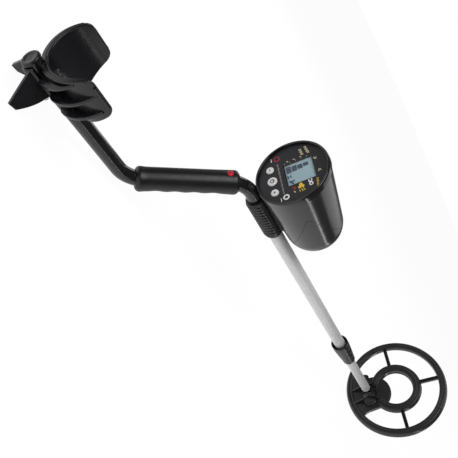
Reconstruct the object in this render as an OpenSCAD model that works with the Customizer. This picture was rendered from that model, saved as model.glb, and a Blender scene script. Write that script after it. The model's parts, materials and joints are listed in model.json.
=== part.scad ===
// Walking metal detector: S-bent upper rod with armrest, stand and grip, control box with display,
// telescopic stem with a twist lock, and a round open search coil on a tilting clevis.
// The model is laid out in the stem frame (X along the stem towards the coil, Y to the operator's left,
// Z square to the stem, origin on the coil's pivot) and then tipped so that it stands on its own
// two feet and on the coil's rear edge.

/* [Upper rod] */
// Diameter of the bent rod and of the middle tube
rod_d = 22; // [20:0.5:25]
// Wall of the bent rod
rod_wall = 1.2; // [1:0.1:1.6]
// Straight stretch of the rod under the grip, between the two bends
handle_len = 120; // [105:1:135]
// Angle of the handle stretch to the stem
handle_angle = 57.4796; // [53.1301, 57.4796, 69.3903]
// Centre line radius of both bends
bend_r = 45; // [35:1:50]
// Distance of the front bend's end from the coil pivot
stem_len = 798; // [740:1:880]
// Length of the straight arm stretch behind the rear bend
arm_len = 200; // [195:1:235]

/* [Armrest] */
// Inner radius of the forearm cuff
cuff_r = 56; // [50:1:60]
// Wall of the cuff
cuff_wall = 3; // [2.5:0.1:4]
// Distance of the cuff's centre behind the rear bend
cuff_back = 149; // [138:1:156]
// Height of the wing tips over the rod's axis
wing_h = 66; // [55:1:68]
// How far the stand's feet reach below the rod's axis
foot_drop = 41; // [36:1:60]
// Half the spread of the feet
foot_half = 36; // [30:1:50]

/* [Grip] */
// Outer diameter of the hand grip
grip_d = 36; // [34:0.5:40]
// How far the grip reaches over the rear bend
grip_over = 14; // [11:1:16]
// Length of the grip
grip_len = 148; // [135:1:150]
// Diameter of the red push button
button_d = 9.2; // [8:0.2:11]

/* [Control box] */
// Radius of the box at its face
box_r = 56.5; // [52:0.5:60]
// Radius of the box's round nose
nose_r = 46.5; // [42:0.5:50]
// Distance from the face to the centre of the round nose
nose_x = 126; // [110:1:140]
// Height of the face's centre over the stem's axis
face_h = 66.5; // [64:0.5:72]
// Wall of the box
box_wall = 2.6; // [2.2:0.1:3.2]
// Downward tilt of the box's axis to the stem
box_tilt = 2; // [0:0.5:3]
// Forward lean of the face's foot
face_tilt = 3; // [0:0.5:5]
// Start of the battery cover's pointed side tongue
seam_x = 49; // [47:1:60]
// Half angle of the battery cover's tongue
seam_angle = 25; // [22:1:30]
// Diameter of the outer two keys
key_d = 12; // [10:0.5:13]
// Diameter of the middle key
mid_key_d = 15; // [13:0.5:16]
// Width of the display window
lcd_w = 39; // [34:0.5:42]
// Height of the display window
lcd_h = 42; // [36:0.5:44]

/* [Stem] */
// Diameter of the lower tube
low_d = 19.4; // [18:0.1:19.4]
// Largest radius of the twist lock collar
collar_r = 17; // [16:0.5:19]
// Distance of the collar's mouth behind the pivot
collar_back = 271; // [240:1:300]
// Length of the collar
collar_len = 84; // [70:1:90]

/* [Search coil] */
// Radius of the search coil
coil_r = 115; // [100:1:125]
// Radial width of the outer ring
ring_w = 17; // [14:0.5:20]
// Outer radius of the inner ring
inner_r = 58; // [50:1:62]
// Radius of the hole in the inner ring
hole_r = 38; // [32:1:40]
// Thickness of the coil
coil_t = 14; // [12:0.5:16]
// Distance of the coil's centre in front of the pivot
coil_fwd = 64; // [58:1:70]
// Height of the pivot over the coil's top
pivot_h = 15; // [15:0.5:18]
// Angle between the stem and the coil's plane at rest
coil_angle = 85.5; // [80:0.5:90]
// Radius of the clevis ears
ear_r = 14; // [12:0.5:14.5]

/* [Hidden] */
$fn = 64;
eps = 0.01;
gap = 0.3;
black = [0.07, 0.07, 0.075];
charcoal = [0.14, 0.14, 0.15];
rubber = [0.05, 0.05, 0.05];
silver = [0.78, 0.79, 0.8];
steel = [0.6, 0.61, 0.62];

rod_r = rod_d / 2;
rod_bore_r = rod_r - rod_wall;
arm_z = -handle_len * sin(handle_angle) - 2 * bend_r * (1 - cos(handle_angle));
bend1_x = -stem_len - handle_len * cos(handle_angle) - 2 * bend_r * sin(handle_angle);
rod_rear_x = bend1_x - arm_len;
rod_front_x = -stem_len + 57;
cuff_x = bend1_x - cuff_back;
cuff_axis_z = rod_r + 1 + cuff_r + cuff_wall;
rib_places = [-33, -10, 13];
foot_back = 27;
bolt_places = [-23, 1];
bolt_r = 2.4;

low_r = low_d / 2;
low_wall = 1;
mid_bore_r = rod_r - 1;
mid_front_x = -collar_back + 36;
low_end_x = -20;
low_start_x = low_end_x - 450;
collar_end_r = 12.6;
collet_r = 13;

grip_r = grip_d / 2;
button_x = handle_len - 1;
button_r = button_d / 2;

face_x = -stem_len - 13;
sleeve_x = -stem_len + 13;
sleeve_len = 100;
sleeve_r = 15;
rib_count = 13;
rib_pitch = 6.9;
bezel_t = 7.2;
bezel_lip = 3.4;
panel_x = 4.2;
panel_t = 1.8;
board_x = 17.5;
board_t = 1.6;
board_r = 44;
key_y = 21.5;
key_z = -31.8;
lcd_z = 10.3;
bulk_x = 42;
bulk_t = 3;
nose_slope = asin((box_r - nose_r) / nose_x);
cell_r = 7.2;
cell_len = 50;

coil_top = -pivot_h;
coil_bot = -pivot_h - coil_t;
cover_t = 2.2;
cover_gap = 0.05;
tongue_r = 38;
tongue_x = 14;
ear_in = 10.1;
gland_x = 16;
ear_out = 20;
pin_r = 3;

// Resting line through the feet's soles and the coil's rear edge.
rim_x = coil_fwd - coil_r;
rim_z = coil_bot + cover_t + cover_gap;
touch_x = rim_x * cos(coil_angle) - rim_z * sin(coil_angle);
touch_z = rim_x * sin(coil_angle) + rim_z * cos(coil_angle);
foot_x = cuff_x - foot_back;
foot_z = arm_z - foot_drop;
pitch = atan2(touch_z - foot_z, touch_x - foot_x);
lift = touch_x * sin(pitch) - touch_z * cos(pitch);
front_x = (coil_fwd + coil_r) * cos(coil_angle - pitch) - coil_bot * sin(coil_angle - pitch);
rear_x = (rod_rear_x - 5) * cos(pitch) + (arm_z - 12.5) * sin(pitch);
shift = -(front_x + rear_x) / 2;

// ---------- frames ----------
module in_place() translate([shift, 0, lift]) rotate([0, pitch, 0]) children();
module arm_frame() translate([cuff_x, 0, arm_z]) children();
// The straight under the grip starts at this frame's origin and runs along its X.
module grip_frame()
    translate([bend1_x, 0, arm_z + bend_r]) rotate([0, -handle_angle, 0]) translate([0, 0, -bend_r]) children();
// The stem's part of the rod starts at this frame's origin, square to the front bend's end.
module stem_frame()
    grip_frame() translate([handle_len, 0, -bend_r]) rotate([0, handle_angle, 0])
        translate([0, 0, bend_r]) children();
module box_frame() translate([face_x, 0, face_h]) rotate([0, box_tilt, 0]) children();
module face_frame() translate([face_x, 0, face_h]) rotate([0, -face_tilt, 0]) children();
module coil_frame() rotate([0, -coil_angle, 0]) children();

// ---------- shared shapes ----------
// Cylinder along X that starts at x.
module x_cyl(x, len, r, r2 = -1)
    translate([x, 0, 0]) rotate([0, 90, 0]) cylinder(h = len, r1 = r, r2 = r2 < 0 ? r : r2);
// Cylinder along Y from y0 to y1.
module y_cyl(y0, y1, r) translate([0, y0, 0]) rotate([-90, 0, 0]) cylinder(h = y1 - y0, r = r);
// Solid turned about X: points are [radius, x].
module x_turn(points) rotate([0, 90, 0]) rotate_extrude() polygon(points);
// Outline in the XZ plane, pushed out to both sides of Y = 0.
module side_plate(width) rotate([90, 0, 0]) linear_extrude(height = width, center = true) children();
// Half space in front of x = 0.
module front_half(size = 400) translate([0, -size / 2, -size / 2]) cube(size);
// Points of an arc.
function arc(cx, cy, r, a0, a1, n = 8) =
    [for (i = [0:n]) let (a = a0 + (a1 - a0) * i / n) [cx + r * cos(a), cy + r * sin(a)]];
// Hexagon prism along Z.
module hexagon(across, h) cylinder(h = h, r = across / 2 / cos(30), $fn = 6);

// ---------- upper rod ----------
// Bend that ends at the origin heading along +X and comes down from the side of +Z or -Z.
module bend(r, side) translate([0, 0, side * bend_r]) difference() {
    rotate([90, 0, 0]) rotate_extrude() translate([bend_r, 0]) circle(r);
    front_half();
    translate([-200, -200, side > 0 ? 0 : -200]) cube([400, 400, 200]);
    rotate([0, side * handle_angle, 0]) mirror([1, 0, 0]) front_half();
}
// The whole run of the rod, lengthened by extra at both ends.
module rod_path(r, extra = 0) {
    translate([bend1_x, 0, arm_z]) x_cyl(-arm_len - extra, arm_len + extra, r);
    grip_frame() bend(r, 1);
    grip_frame() x_cyl(0, handle_len, r);
    stem_frame() bend(r, -1);
    stem_frame() x_cyl(0, rod_front_x + stem_len + extra, r);
}
// The bolts' holes through the rod, cuff and stand.
module bolt_holes(r, z0, z1)
    arm_frame() for (x = bolt_places) translate([x, 0, z0]) cylinder(h = z1 - z0, r = r);
module s_rod()
    color(black) in_place() difference() {
        rod_path(rod_r);
        rod_path(rod_bore_r, 1);
        bolt_holes(bolt_r + 0.1, -rod_r - 2, rod_r + 2);
        grip_frame() translate([button_x, 0, 0]) cylinder(h = rod_r + 4, r = button_r - 0.1);
        translate([rod_front_x - 15, 0, -rod_r - 2]) cylinder(h = 6, r = 1.7);
    }
module rod_end_cap()
    color(black) in_place() translate([rod_rear_x, 0, arm_z]) x_turn(concat(
        [[0, 18], [rod_bore_r - 0.05, 18], [rod_bore_r - 0.05, 0], [12.8, 0]],
        arc(10.3, -2.5, 2.5, 0, -90, 6), [[0, -5]]));

// ---------- armrest ----------
// Side outline of the cuff: long at the rod, short at the wing tips.
module cuff_side() polygon(concat(
    [[-46, -4], [44, -4], [46, 16]],
    arc(8, wing_h - 12, 12, 25, 90), arc(-30, wing_h - 8, 8, 90, 165),
    arc(40, 8, 85, 148, 174, 5)));
// Crescent rib under the cuff, from wing tip to wing tip round the rod.
module cuff_rib()
    difference() {
        translate([0, 0, 53.5]) x_cyl(-2.5, 5, 60.6);
        translate([0, 0, cuff_axis_z]) x_cyl(-5, 10, cuff_r + 1);
        translate([-5, -80, wing_h - 8]) cube([10, 160, 80]);
    }
module arm_cuff()
    color(black) in_place() difference() {
        arm_frame() {
            intersection() {
                difference() {
                    translate([0, 0, cuff_axis_z]) x_cyl(-60, 120, cuff_r + cuff_wall);
                    translate([0, 0, cuff_axis_z]) x_cyl(-61, 122, cuff_r);
                }
                side_plate(160) cuff_side();
            }
            for (x = rib_places) translate([x, 0, 0]) cuff_rib();
            difference() {
                x_cyl(-46, 90, 16.5);
                translate([0, 0, cuff_axis_z]) x_cyl(-61, 122, cuff_r);
            }
        }
        arm_frame() translate([-70, -17, -40]) cube([140, 34, 40.2]);
        arm_frame() translate([-70, -80, -40]) cube([140, 160, 38.8]);
        rod_path(rod_r + 0.05, 1);
        bolt_holes(bolt_r + 0.1, 0, 40);
        arm_frame() for (x = bolt_places) translate([x, 0, rod_r + 4]) cylinder(h = 20, r = 5);
    }
// One leg of the stand, drawn upright and later splayed: wide at the rod, narrow at the sole.
module stand_leg()
    side_plate(5) polygon(concat(
        [[-50, 0], [-33, -foot_drop - 14], [-21, -foot_drop - 14]],
        arc(-72, -8, 64, -37, 7, 8)));
module arm_stand() {
    splay = atan((foot_half - 12) / (foot_drop - 4));
    color(black) difference() {
        in_place() difference() {
            arm_frame() {
                difference() {
                    x_cyl(-50, 87, 15.5);
                    translate([-60, -20, -0.2]) cube([110, 40, 40]);
                }
                for (s = [-1, 1]) translate([0, 12.2 * s, -4]) rotate([splay * s, 0, 0]) stand_leg();
                translate([-30, -9, -17.5]) cube([40, 18, 6]);
            }
            rod_path(rod_r + 0.05, 1);
            bolt_holes(bolt_r + 0.1, -40, 0);
            arm_frame() for (x = bolt_places) translate([x, 0, -25]) hexagon(8.2, 11);
        }
        translate([-1000, -500, -100]) cube([2000, 1000, 100]);
    }
}
module stand_bolts()
    color(steel) in_place() arm_frame() for (x = bolt_places) translate([x, 0, 0]) {
        translate([0, 0, -17.5]) cylinder(h = 32.5, r = bolt_r);
        translate([0, 0, rod_r + 4]) difference() {
            cylinder(h = 3, r = 4.6);
            translate([0, 0, 1.2]) hexagon(3, 3);
        }
    }
module stand_nuts()
    color(steel) in_place() arm_frame() for (x = bolt_places) translate([x, 0, -17.8])
        difference() {
            hexagon(7.9, 3.8);
            translate([0, 0, -1]) cylinder(h = 6, r = bolt_r);
        }

// ---------- grip ----------
module hand_grip()
    color(rubber) in_place() difference() {
        grip_frame() difference() {
            translate([-grip_over, 0, 0]) x_turn(concat(
                [[0, 0]], arc(grip_r - 6, 6, 6, -90, 0, 8),
                [[grip_r - 0.8, grip_len / 2]],
                arc(grip_r - 6, grip_len - 6, 6, 0, 90, 8), [[0, grip_len]]));
            for (i = [0:3]) translate([17 + 27 * i, 0, -grip_r - 26.4]) y_cyl(-30, 30, 28);
            translate([button_x, 0, 0]) cylinder(h = 30, r = button_r + gap);
        }
        rod_path(rod_r + 0.05, 1);
    }
module push_button()
    color([0.85, 0.05, 0.08]) in_place() grip_frame() translate([button_x, 0, 14.4])
        rotate_extrude() polygon(concat(
            [[0, 0], [button_r, 0]], arc(button_r - 1.2, 4.4, 1.2, 0, 70, 5), [[0, 6.2]]));
module button_switch()
    color([0.2, 0.2, 0.22]) in_place() grip_frame() translate([button_x, 0, 0]) {
        translate([0, 0, -3]) cylinder(h = 14.2, r = button_r - 0.4);
        translate([0, 0, 11]) cylinder(h = 1.2, r = 1.6);
    }

// ---------- control box ----------
// The box's round body, shrunk by inset all round.
module box_body(inset, x0 = 0) {
    base_r = (box_r - inset) / cos(nose_slope);
    end_x = nose_x + (nose_r - inset) * sin(nose_slope);
    start_r = base_r - x0 * tan(nose_slope);
    x_cyl(x0, end_x - x0, start_r, (nose_r - inset) * cos(nose_slope));
    intersection() {
        translate([nose_x, 0, 0]) sphere(nose_r - inset);
        translate([nose_x, 0, 0]) front_half();
    }
}
// Wedge that the battery cover takes from the nose, its edge moved forward by ahead.
module cover_wedge(ahead)
    translate([seam_x + ahead, 0, 0]) side_plate(200)
        polygon([[0, 0], [250, -250 * tan(seam_angle)], [250, 250 * tan(seam_angle)]]);
// Band inside the wall along the seam, its edge from back to front of the seam line.
module seam_band(outer_in, inner_in, back, front) intersection() {
    difference() {
        box_body(outer_in, 20);
        box_body(inner_in, 18);
    }
    difference() {
        cover_wedge(-back);
        cover_wedge(front);
    }
    x_cyl(seam_x - 20, nose_x - seam_x + 12, box_r);
}
// Rim that stands forward of the seam, inside the cover, and the band that roots it to the wall.
module seam_lip() {
    seam_band(box_wall + gap, box_wall + 1.9, 5, 9);
    seam_band(box_wall - 0.2, box_wall + 1.4, 7, -1);
}
// Handle-like sleeve that carries the box on the rod and joins the two tubes.
module sleeve_outer() {
    translate([sleeve_x, 0, 0]) x_turn(concat(
        [[0, 0], [sleeve_r, 0]], arc(sleeve_r - 5, sleeve_len - 5, 5, 0, 90, 8), [[0, sleeve_len]]));
    for (i = [0:rib_count - 1]) intersection() {
        x_cyl(sleeve_x + 4 + i * rib_pitch, 3.6, sleeve_r + 0.9);
        translate([sleeve_x - 5, -30, -30]) cube([sleeve_len + 10, 60, 30 + 3]);
    }
    translate([sleeve_x, -10, 0]) cube([sleeve_len - 4, 20, 17]);
}
// Room for the rod where the box's edge comes down to it.
module rod_notch() {
    x_cyl(-stem_len - eps, stem_len + sleeve_x + 2, rod_r + 0.3);
    stem_frame() bend(rod_r + 0.3, -1);
}
module control_housing()
    color(charcoal) in_place() difference() {
        union() {
            difference() {
                box_frame() {
                    difference() {
                        box_body(0);
                        box_body(box_wall, -eps);
                        cover_wedge(0);
                    }
                    seam_lip();
                    intersection() {
                        box_body(box_wall - 0.2, 0);
                        translate([bulk_x, -80, -80]) cube([bulk_t, 160, 160]);
                    }
                }
                face_frame() translate([bezel_t + 0.1, 0, 0]) mirror([1, 0, 0]) front_half();
            }
            sleeve_outer();
        }
        x_cyl(sleeve_x - 1, sleeve_len + 2, rod_r + 0.05);
        rod_notch();
        box_frame() translate([28, 30, 0]) y_cyl(0, 40, 4.6);
        box_frame() for (a = [-2:2], b = [-2:2]) if (abs(a) + abs(b) < 4)
            translate([28 + 5 * a, 30, 26 + 5 * b]) y_cyl(0, 40, 1.2);
        for (x = [rod_front_x - 15, rod_front_x + 18])
            translate([x, 0, -30]) {
                cylinder(h = 30, r = 1.7);
                cylinder(h = 17, r = 3.2);
            }
    }
module battery_cover()
    color(charcoal) in_place() box_frame() intersection() {
        difference() {
            box_body(0);
            box_body(box_wall, -eps);
        }
        cover_wedge(gap);
    }
module face_bezel()
    color(black) in_place() difference() {
        face_frame() x_turn(concat(
            [[board_r + 6, bezel_t + 3], [box_r - box_wall - 1.8, bezel_t + 3],
             [box_r - box_wall - 1.8, bezel_t], [box_r + 0.4, bezel_t]],
            arc(box_r - 0.6, 1, 1, 0, -90, 4), arc(box_r - bezel_lip + 0.8, 0.8, 0.8, -90, -180, 4),
            [[box_r - bezel_lip, panel_x + panel_t], [board_r + 6, panel_x + panel_t]]));
        rod_notch();
    }
module face_panel()
    color(black) in_place() face_frame() difference() {
        x_cyl(panel_x, panel_t, box_r - bezel_lip - 0.1);
        translate([panel_x - 1, -lcd_w / 2 - 0.1, lcd_z - lcd_h / 2 - 0.1]) cube([5, lcd_w + 0.2, lcd_h + 0.2]);
        for (s = [-1, 0, 1]) translate([0, s * key_y, key_z])
            x_cyl(panel_x - 1, 5, (s == 0 ? mid_key_d : key_d) / 2 + gap);
    }
module display_window()
    color([0.6, 0.72, 0.76, 0.6]) in_place() face_frame()
        translate([panel_x + 0.3, -lcd_w / 2, lcd_z - lcd_h / 2]) cube([panel_t - 0.3, lcd_w, lcd_h]);
module display_module()
    color([0.55, 0.68, 0.72]) in_place() face_frame()
        translate([panel_x + panel_t, -lcd_w / 2 - 3, lcd_z - lcd_h / 2 - 2])
            cube([6, lcd_w + 6, lcd_h + 4]);
// A key: round cap through the panel, with a flange behind it that keeps it in.
module key(s) {
    r = (s == 0 ? mid_key_d : key_d) / 2;
    face_frame() translate([0, s * key_y, key_z]) {
        x_turn(concat([[0, panel_x - 1.4]], arc(r - 0.7, panel_x - 0.7, 0.7, -90, 0, 5),
            [[r, panel_x + panel_t + 0.2], [0, panel_x + panel_t + 0.2]]));
        x_cyl(panel_x + panel_t + 0.15, 1.4, r + 1.2);
        x_cyl(panel_x + panel_t + 1.5, 3.6, 2.4);
    }
}
module left_key() color([0.9, 0.9, 0.9]) in_place() key(1);
module middle_key() color([0.9, 0.9, 0.9]) in_place() key(0);
module right_key() color([0.9, 0.9, 0.9]) in_place() key(-1);
module key_switches()
    color([0.25, 0.25, 0.25]) in_place() face_frame() for (s = [-1, 0, 1])
        translate([board_x - 4.3, s * key_y - 3, key_z - 3]) {
            cube([4.3, 6, 6]);
            translate([0, 3, 3]) x_cyl(-0.9, 1, 1.7);
        }
// The board carries the switches and the display and is screwed to posts on the bezel's flange.
board_screw_angles = [40, 140, 220, 320];
module board_screw_spots() for (a = board_screw_angles)
    translate([0, (board_r - 4) * cos(a), (board_r - 4) * sin(a)]) children();
module main_board()
    color([0.05, 0.3, 0.15]) in_place() face_frame() difference() {
        x_cyl(board_x, board_t, board_r);
        board_screw_spots() x_cyl(board_x - 1, 4, 1.6);
    }
module board_screws()
    color(steel) in_place() face_frame() board_screw_spots() {
        x_cyl(panel_x + panel_t, board_x + board_t - panel_x - panel_t, 1.5);
        x_cyl(board_x + board_t, 2, 2.8);
    }
module battery_tray()
    color([0.1, 0.1, 0.1]) in_place() box_frame() difference() {
        translate([bulk_x + bulk_t, -25, -17]) cube([cell_len + 6, 50, 34]);
        translate([bulk_x + bulk_t + 3, -23, -15]) cube([cell_len + gap, 46, 40]);
    }
module batteries()
    color([0.2, 0.35, 0.6]) in_place() box_frame() for (y = [-15, 0, 15], z = [-7.6, 7.6])
        translate([bulk_x + bulk_t + 3.1, y, z]) x_cyl(0, cell_len, cell_r);
module speaker()
    color([0.3, 0.3, 0.3]) in_place() box_frame() translate([bulk_x, 0, 0]) mirror([1, 0, 0]) {
        x_cyl(0, 4, 24);
        x_cyl(4, 8, 14);
    }
module headphone_socket()
    color(steel) in_place() box_frame() translate([28, 0, 0]) difference() {
        union() {
            y_cyl(36, box_r - 2, 4.5);
            y_cyl(28, 49, 6.5);
        }
        y_cyl(32, box_r, 3.2);
    }
module sleeve_screws()
    color(steel) in_place() for (x = [rod_front_x - 15, rod_front_x + 18]) translate([x, 0, 0]) {
        translate([0, 0, -13.2]) cylinder(h = 4, r = 1.6);
        translate([0, 0, -15]) cylinder(h = 2, r = 3);
    }

// ---------- stem ----------
module middle_tube()
    color(silver) in_place() difference() {
        x_cyl(rod_front_x + 1, mid_front_x - rod_front_x - 1, rod_r);
        x_cyl(rod_front_x, mid_front_x - rod_front_x + 1, mid_bore_r);
        translate([rod_front_x + 18, 0, -rod_r - 2]) cylinder(h = 6, r = 1.7);
    }
module lock_collet()
    color([0.16, 0.16, 0.17]) in_place() difference() {
        union() {
            x_cyl(mid_front_x - 24, 30, collet_r - 0.4);
            x_cyl(mid_front_x + 6, 18, collet_r - 0.4, collet_r - 2);
            for (i = [0:3]) x_cyl(mid_front_x - 20 + i * 5, 2.4, collet_r);
        }
        x_cyl(mid_front_x - 25, 25.1, rod_r + 0.02);
        x_cyl(mid_front_x - 1, 40, low_r + gap);
        for (a = [0, 90]) rotate([a, 0, 0]) translate([mid_front_x + 4, -0.8, -20]) cube([30, 1.6, 40]);
    }
module lock_collar()
    color(rubber) in_place() translate([-collar_back, 0, 0]) difference() {
        union() {
            x_turn([[0, 0], [collar_r - 0.8, 0], [collar_r, 0.8], [collar_r, 16],
                    [collar_end_r + 0.6, collar_len - 8], [collar_end_r, collar_len - 1],
                    [collar_end_r - 1, collar_len], [0, collar_len]]);
            for (s = [-1, 1], i = [0:5]) translate([18 + i * 8, s * (collar_r - 2.4 - i * 0.52), 0])
                rotate([90 - s * 90, 0, 0]) translate([0, -1.2, -6]) cube([3, 2.6, 12]);
        }
        x_cyl(-1, 46, collet_r + gap);
        x_cyl(45 - eps, 21, collet_r + gap, collet_r - 1.4);
        x_cyl(collar_len - 19, 22, low_r + gap);
    }
module lower_tube()
    color(silver) in_place() difference() {
        x_cyl(low_start_x, low_end_x - low_start_x, low_r);
        x_cyl(low_start_x - 1, low_end_x - low_start_x + 2, low_r - low_wall);
    }
module tube_bush()
    color(rubber) in_place() difference() {
        union() {
            x_cyl(low_start_x - 3, 3, mid_bore_r - 0.12);
            x_cyl(low_start_x - 1, 22, low_r - low_wall - 0.02);
        }
        x_cyl(low_start_x - 4, 30, 6);
    }
module end_fitting()
    color(rubber) in_place() difference() {
        union() {
            x_cyl(low_end_x - 40, 42, low_r - low_wall - 0.02);
            x_cyl(low_end_x, 5, low_r + 0.1, low_r - 0.6);
            intersection() {
                union() {
                    y_cyl(-8.9, 8.9, 12);
                    translate([low_end_x + 1, -8.9, -9]) cube([20, 17.8, 18]);
                }
                translate([-40, -8.9, -13]) cube([60, 17.8, 26]);
            }
        }
        x_cyl(low_end_x - 41, 30, 5);
        y_cyl(-12, 12, pin_r + 0.06);
    }
module rubber_washers()
    color([0.12, 0.12, 0.12]) in_place() for (s = [-1, 1]) difference() {
        y_cyl(min(s * 8.9, s * 9.8), max(s * 8.9, s * 9.8), 11);
        y_cyl(-12, 12, pin_r + 0.2);
    }

// ---------- search coil ----------
module pivot_bolt()
    color([0.1, 0.1, 0.1]) in_place() coil_frame() {
        y_cyl(-ear_out + 3, ear_out + 14, pin_r);
        difference() {
            y_cyl(-ear_out, -ear_out + 3.5, 5.6);
            y_cyl(-ear_out - 1, -ear_out + 1.6, 3.4);
        }
    }
module pivot_knob()
    color(rubber) in_place() coil_frame() difference() {
        union() {
            y_cyl(ear_out + gap, ear_out + 17.5, 10);
            for (i = [0:15]) rotate([0, i * 22.5, 0])
                translate([9.7, 0, 0]) y_cyl(ear_out + 2, ear_out + 15, 1.3);
        }
        y_cyl(ear_out - 1, ear_out + 14.3, pin_r + 0.06);
    }
// Rear plate that carries the clevis, round in front and flared into the outer ring.
module tongue_outline(margin) intersection() {
    union() {
        translate([tongue_x, 0]) circle(tongue_r - margin);
        polygon([[-60, 60], [-32, 58 - margin], [-18, 42 - margin], [tongue_x, tongue_r - margin],
                 [tongue_x, margin - tongue_r], [-18, margin - 42], [-32, margin - 58], [-60, -60]]);
    }
    translate([coil_fwd, 0]) circle(coil_r - margin, $fn = 96);
}
module coil_ears()
    for (s = [-1, 1]) {
        y_cyl(s > 0 ? ear_in : -ear_out, s > 0 ? ear_out : -ear_in, ear_r);
        translate([-ear_r, s > 0 ? ear_in : -ear_out, coil_top - 2])
            cube([2 * ear_r, ear_out - ear_in, pivot_h + 2]);
        translate([-ear_r - 12, s * 15 - 2, coil_top - 2]) cube([2 * ear_r + 24, 4, 8]);
    }
// Section of a ring: rounded top edges and a flat underside.
module ring_solid(outer, inner, top_r)
    translate([coil_fwd, 0, 0]) rotate_extrude($fn = 96) polygon(concat(
        [[inner, coil_bot + cover_t + cover_gap], [outer, coil_bot + cover_t + cover_gap]],
        arc(outer - top_r, coil_top - top_r, top_r, 0, 90, 6),
        arc(inner + 4, coil_top - 4, 4, 90, 180, 5)));
module coil_shell()
    color(charcoal) in_place() coil_frame() difference() {
        union() {
            ring_solid(coil_r, coil_r - ring_w, 6);
            ring_solid(inner_r, hole_r, 5);
            translate([0, 0, coil_bot + cover_t + cover_gap])
                linear_extrude(height = coil_t - cover_t - cover_gap - 1.5) tongue_outline(0);
            for (a = [0, 90, 270]) translate([coil_fwd, 0, 0]) rotate([0, 0, a]) {
                for (s = [-1, 1]) translate([inner_r - 2, s * 2.1 - 1.1, coil_bot + 4])
                    cube([coil_r - ring_w - inner_r + 4, 2.2, 7.5]);
                translate([inner_r - 2, -2.2, coil_bot + 4]) cube([coil_r - ring_w - inner_r + 4, 4.4, 4]);
            }
            coil_ears();
        }
        translate([coil_fwd, 0, coil_bot]) difference() {
            cylinder(h = coil_t - 3, r = coil_r - 3);
            translate([0, 0, -1]) cylinder(h = coil_t, r = coil_r - ring_w + 3);
        }
        translate([coil_fwd, 0, coil_bot]) difference() {
            cylinder(h = coil_t - 3, r = inner_r - 3);
            translate([0, 0, -1]) cylinder(h = coil_t, r = hole_r + 3);
        }
        y_cyl(-ear_out - 1, ear_out + 1, pin_r + 0.06);
        y_cyl(-ear_out - 1, -ear_out + 3.6, 5.9);
        translate([gland_x, 0, coil_top - 8]) cylinder(h = 10, r = 4.05);
    }
module coil_cover()
    color(charcoal) in_place() coil_frame() translate([0, 0, coil_bot])
        union() {
            linear_extrude(height = cover_t) tongue_outline(0.6);
            for (r = [[coil_r - 0.6, coil_r - ring_w + 0.6], [inner_r - 0.6, hole_r + 0.6]])
                translate([coil_fwd, 0, 0]) difference() {
                    cylinder(h = cover_t, r = r[0]);
                    translate([0, 0, -1]) cylinder(h = cover_t + 2, r = r[1]);
                }
        }
// A winding: a round copper ring in its channel.
module winding(r, section) translate([coil_fwd, 0, coil_bot + 5.8])
    rotate_extrude($fn = 96) translate([r, 0]) circle(section);
module transmit_winding() color([0.72, 0.4, 0.2]) in_place() coil_frame() winding(coil_r - ring_w / 2, 2.2);
module receive_winding() color([0.72, 0.4, 0.2]) in_place() coil_frame() winding((inner_r + hole_r) / 2, 2.2);
module cable_gland()
    color(rubber) in_place() coil_frame() translate([gland_x, 0, coil_top]) difference() {
        union() {
            translate([0, 0, -5]) cylinder(h = 5.1, r = 4);
            cylinder(h = 1.6, r = 5);
            translate([0, 0, 1.5]) cylinder(h = 1.6, r1 = 4.8, r2 = 4);
        }
        translate([0, 0, -6]) cylinder(h = 12, r = 2.1);
    }

s_rod();
rod_end_cap();
arm_cuff();
arm_stand();
stand_bolts();
stand_nuts();
hand_grip();
push_button();
button_switch();
control_housing();
battery_cover();
face_bezel();
face_panel();
display_window();
display_module();
left_key();
middle_key();
right_key();
key_switches();
main_board();
board_screws();
battery_tray();
batteries();
speaker();
headphone_socket();
sleeve_screws();
middle_tube();
lock_collar();
lock_collet();
lower_tube();
tube_bush();
end_fitting();
rubber_washers();
pivot_bolt();
pivot_knob();
coil_shell();
coil_cover();
transmit_winding();
receive_winding();
cable_gland();
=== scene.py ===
"""Looks of a walking metal detector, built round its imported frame: every visible piece gets a finished
mesh and a node-based material. Lengths inside the classes are in millimetres, in the frame each names."""
import json
import logging
import math
from dataclasses import dataclass, field
from enum import Enum
from typing import Callable, Sequence

import bpy
import numpy as np
from mathutils import Matrix


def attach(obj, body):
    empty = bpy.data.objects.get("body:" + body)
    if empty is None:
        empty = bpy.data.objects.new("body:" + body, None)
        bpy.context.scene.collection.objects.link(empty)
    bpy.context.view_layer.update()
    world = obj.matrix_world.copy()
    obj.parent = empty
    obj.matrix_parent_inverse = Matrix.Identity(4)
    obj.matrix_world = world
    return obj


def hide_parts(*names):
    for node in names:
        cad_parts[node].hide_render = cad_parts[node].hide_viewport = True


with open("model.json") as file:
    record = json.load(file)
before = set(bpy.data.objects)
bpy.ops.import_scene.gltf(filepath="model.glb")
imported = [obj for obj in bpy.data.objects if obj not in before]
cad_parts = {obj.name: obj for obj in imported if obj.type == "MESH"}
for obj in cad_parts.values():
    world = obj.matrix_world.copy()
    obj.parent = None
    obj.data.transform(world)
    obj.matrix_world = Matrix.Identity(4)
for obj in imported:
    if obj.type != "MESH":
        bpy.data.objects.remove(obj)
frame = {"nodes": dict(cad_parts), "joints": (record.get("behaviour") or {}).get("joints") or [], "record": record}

MM = 0.001
Y_AXIS = np.array([0.0, 1.0, 0.0])
log = logging.getLogger("detector")
Array = np.ndarray


class Body(Enum):
    """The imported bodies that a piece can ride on."""

    UPPER = "upper"
    BUTTON = "button"
    KEY_LEFT = "key_l"
    KEY_MIDDLE = "key_m"
    KEY_RIGHT = "key_r"
    COVER = "cover"
    COLLAR = "collar"
    LOWER = "lower"
    COIL = "coil"
    KNOB = "knob"


class Side(Enum):
    """The operator's left (+Y) or right (-Y)."""

    LEFT = 1
    RIGHT = -1


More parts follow.
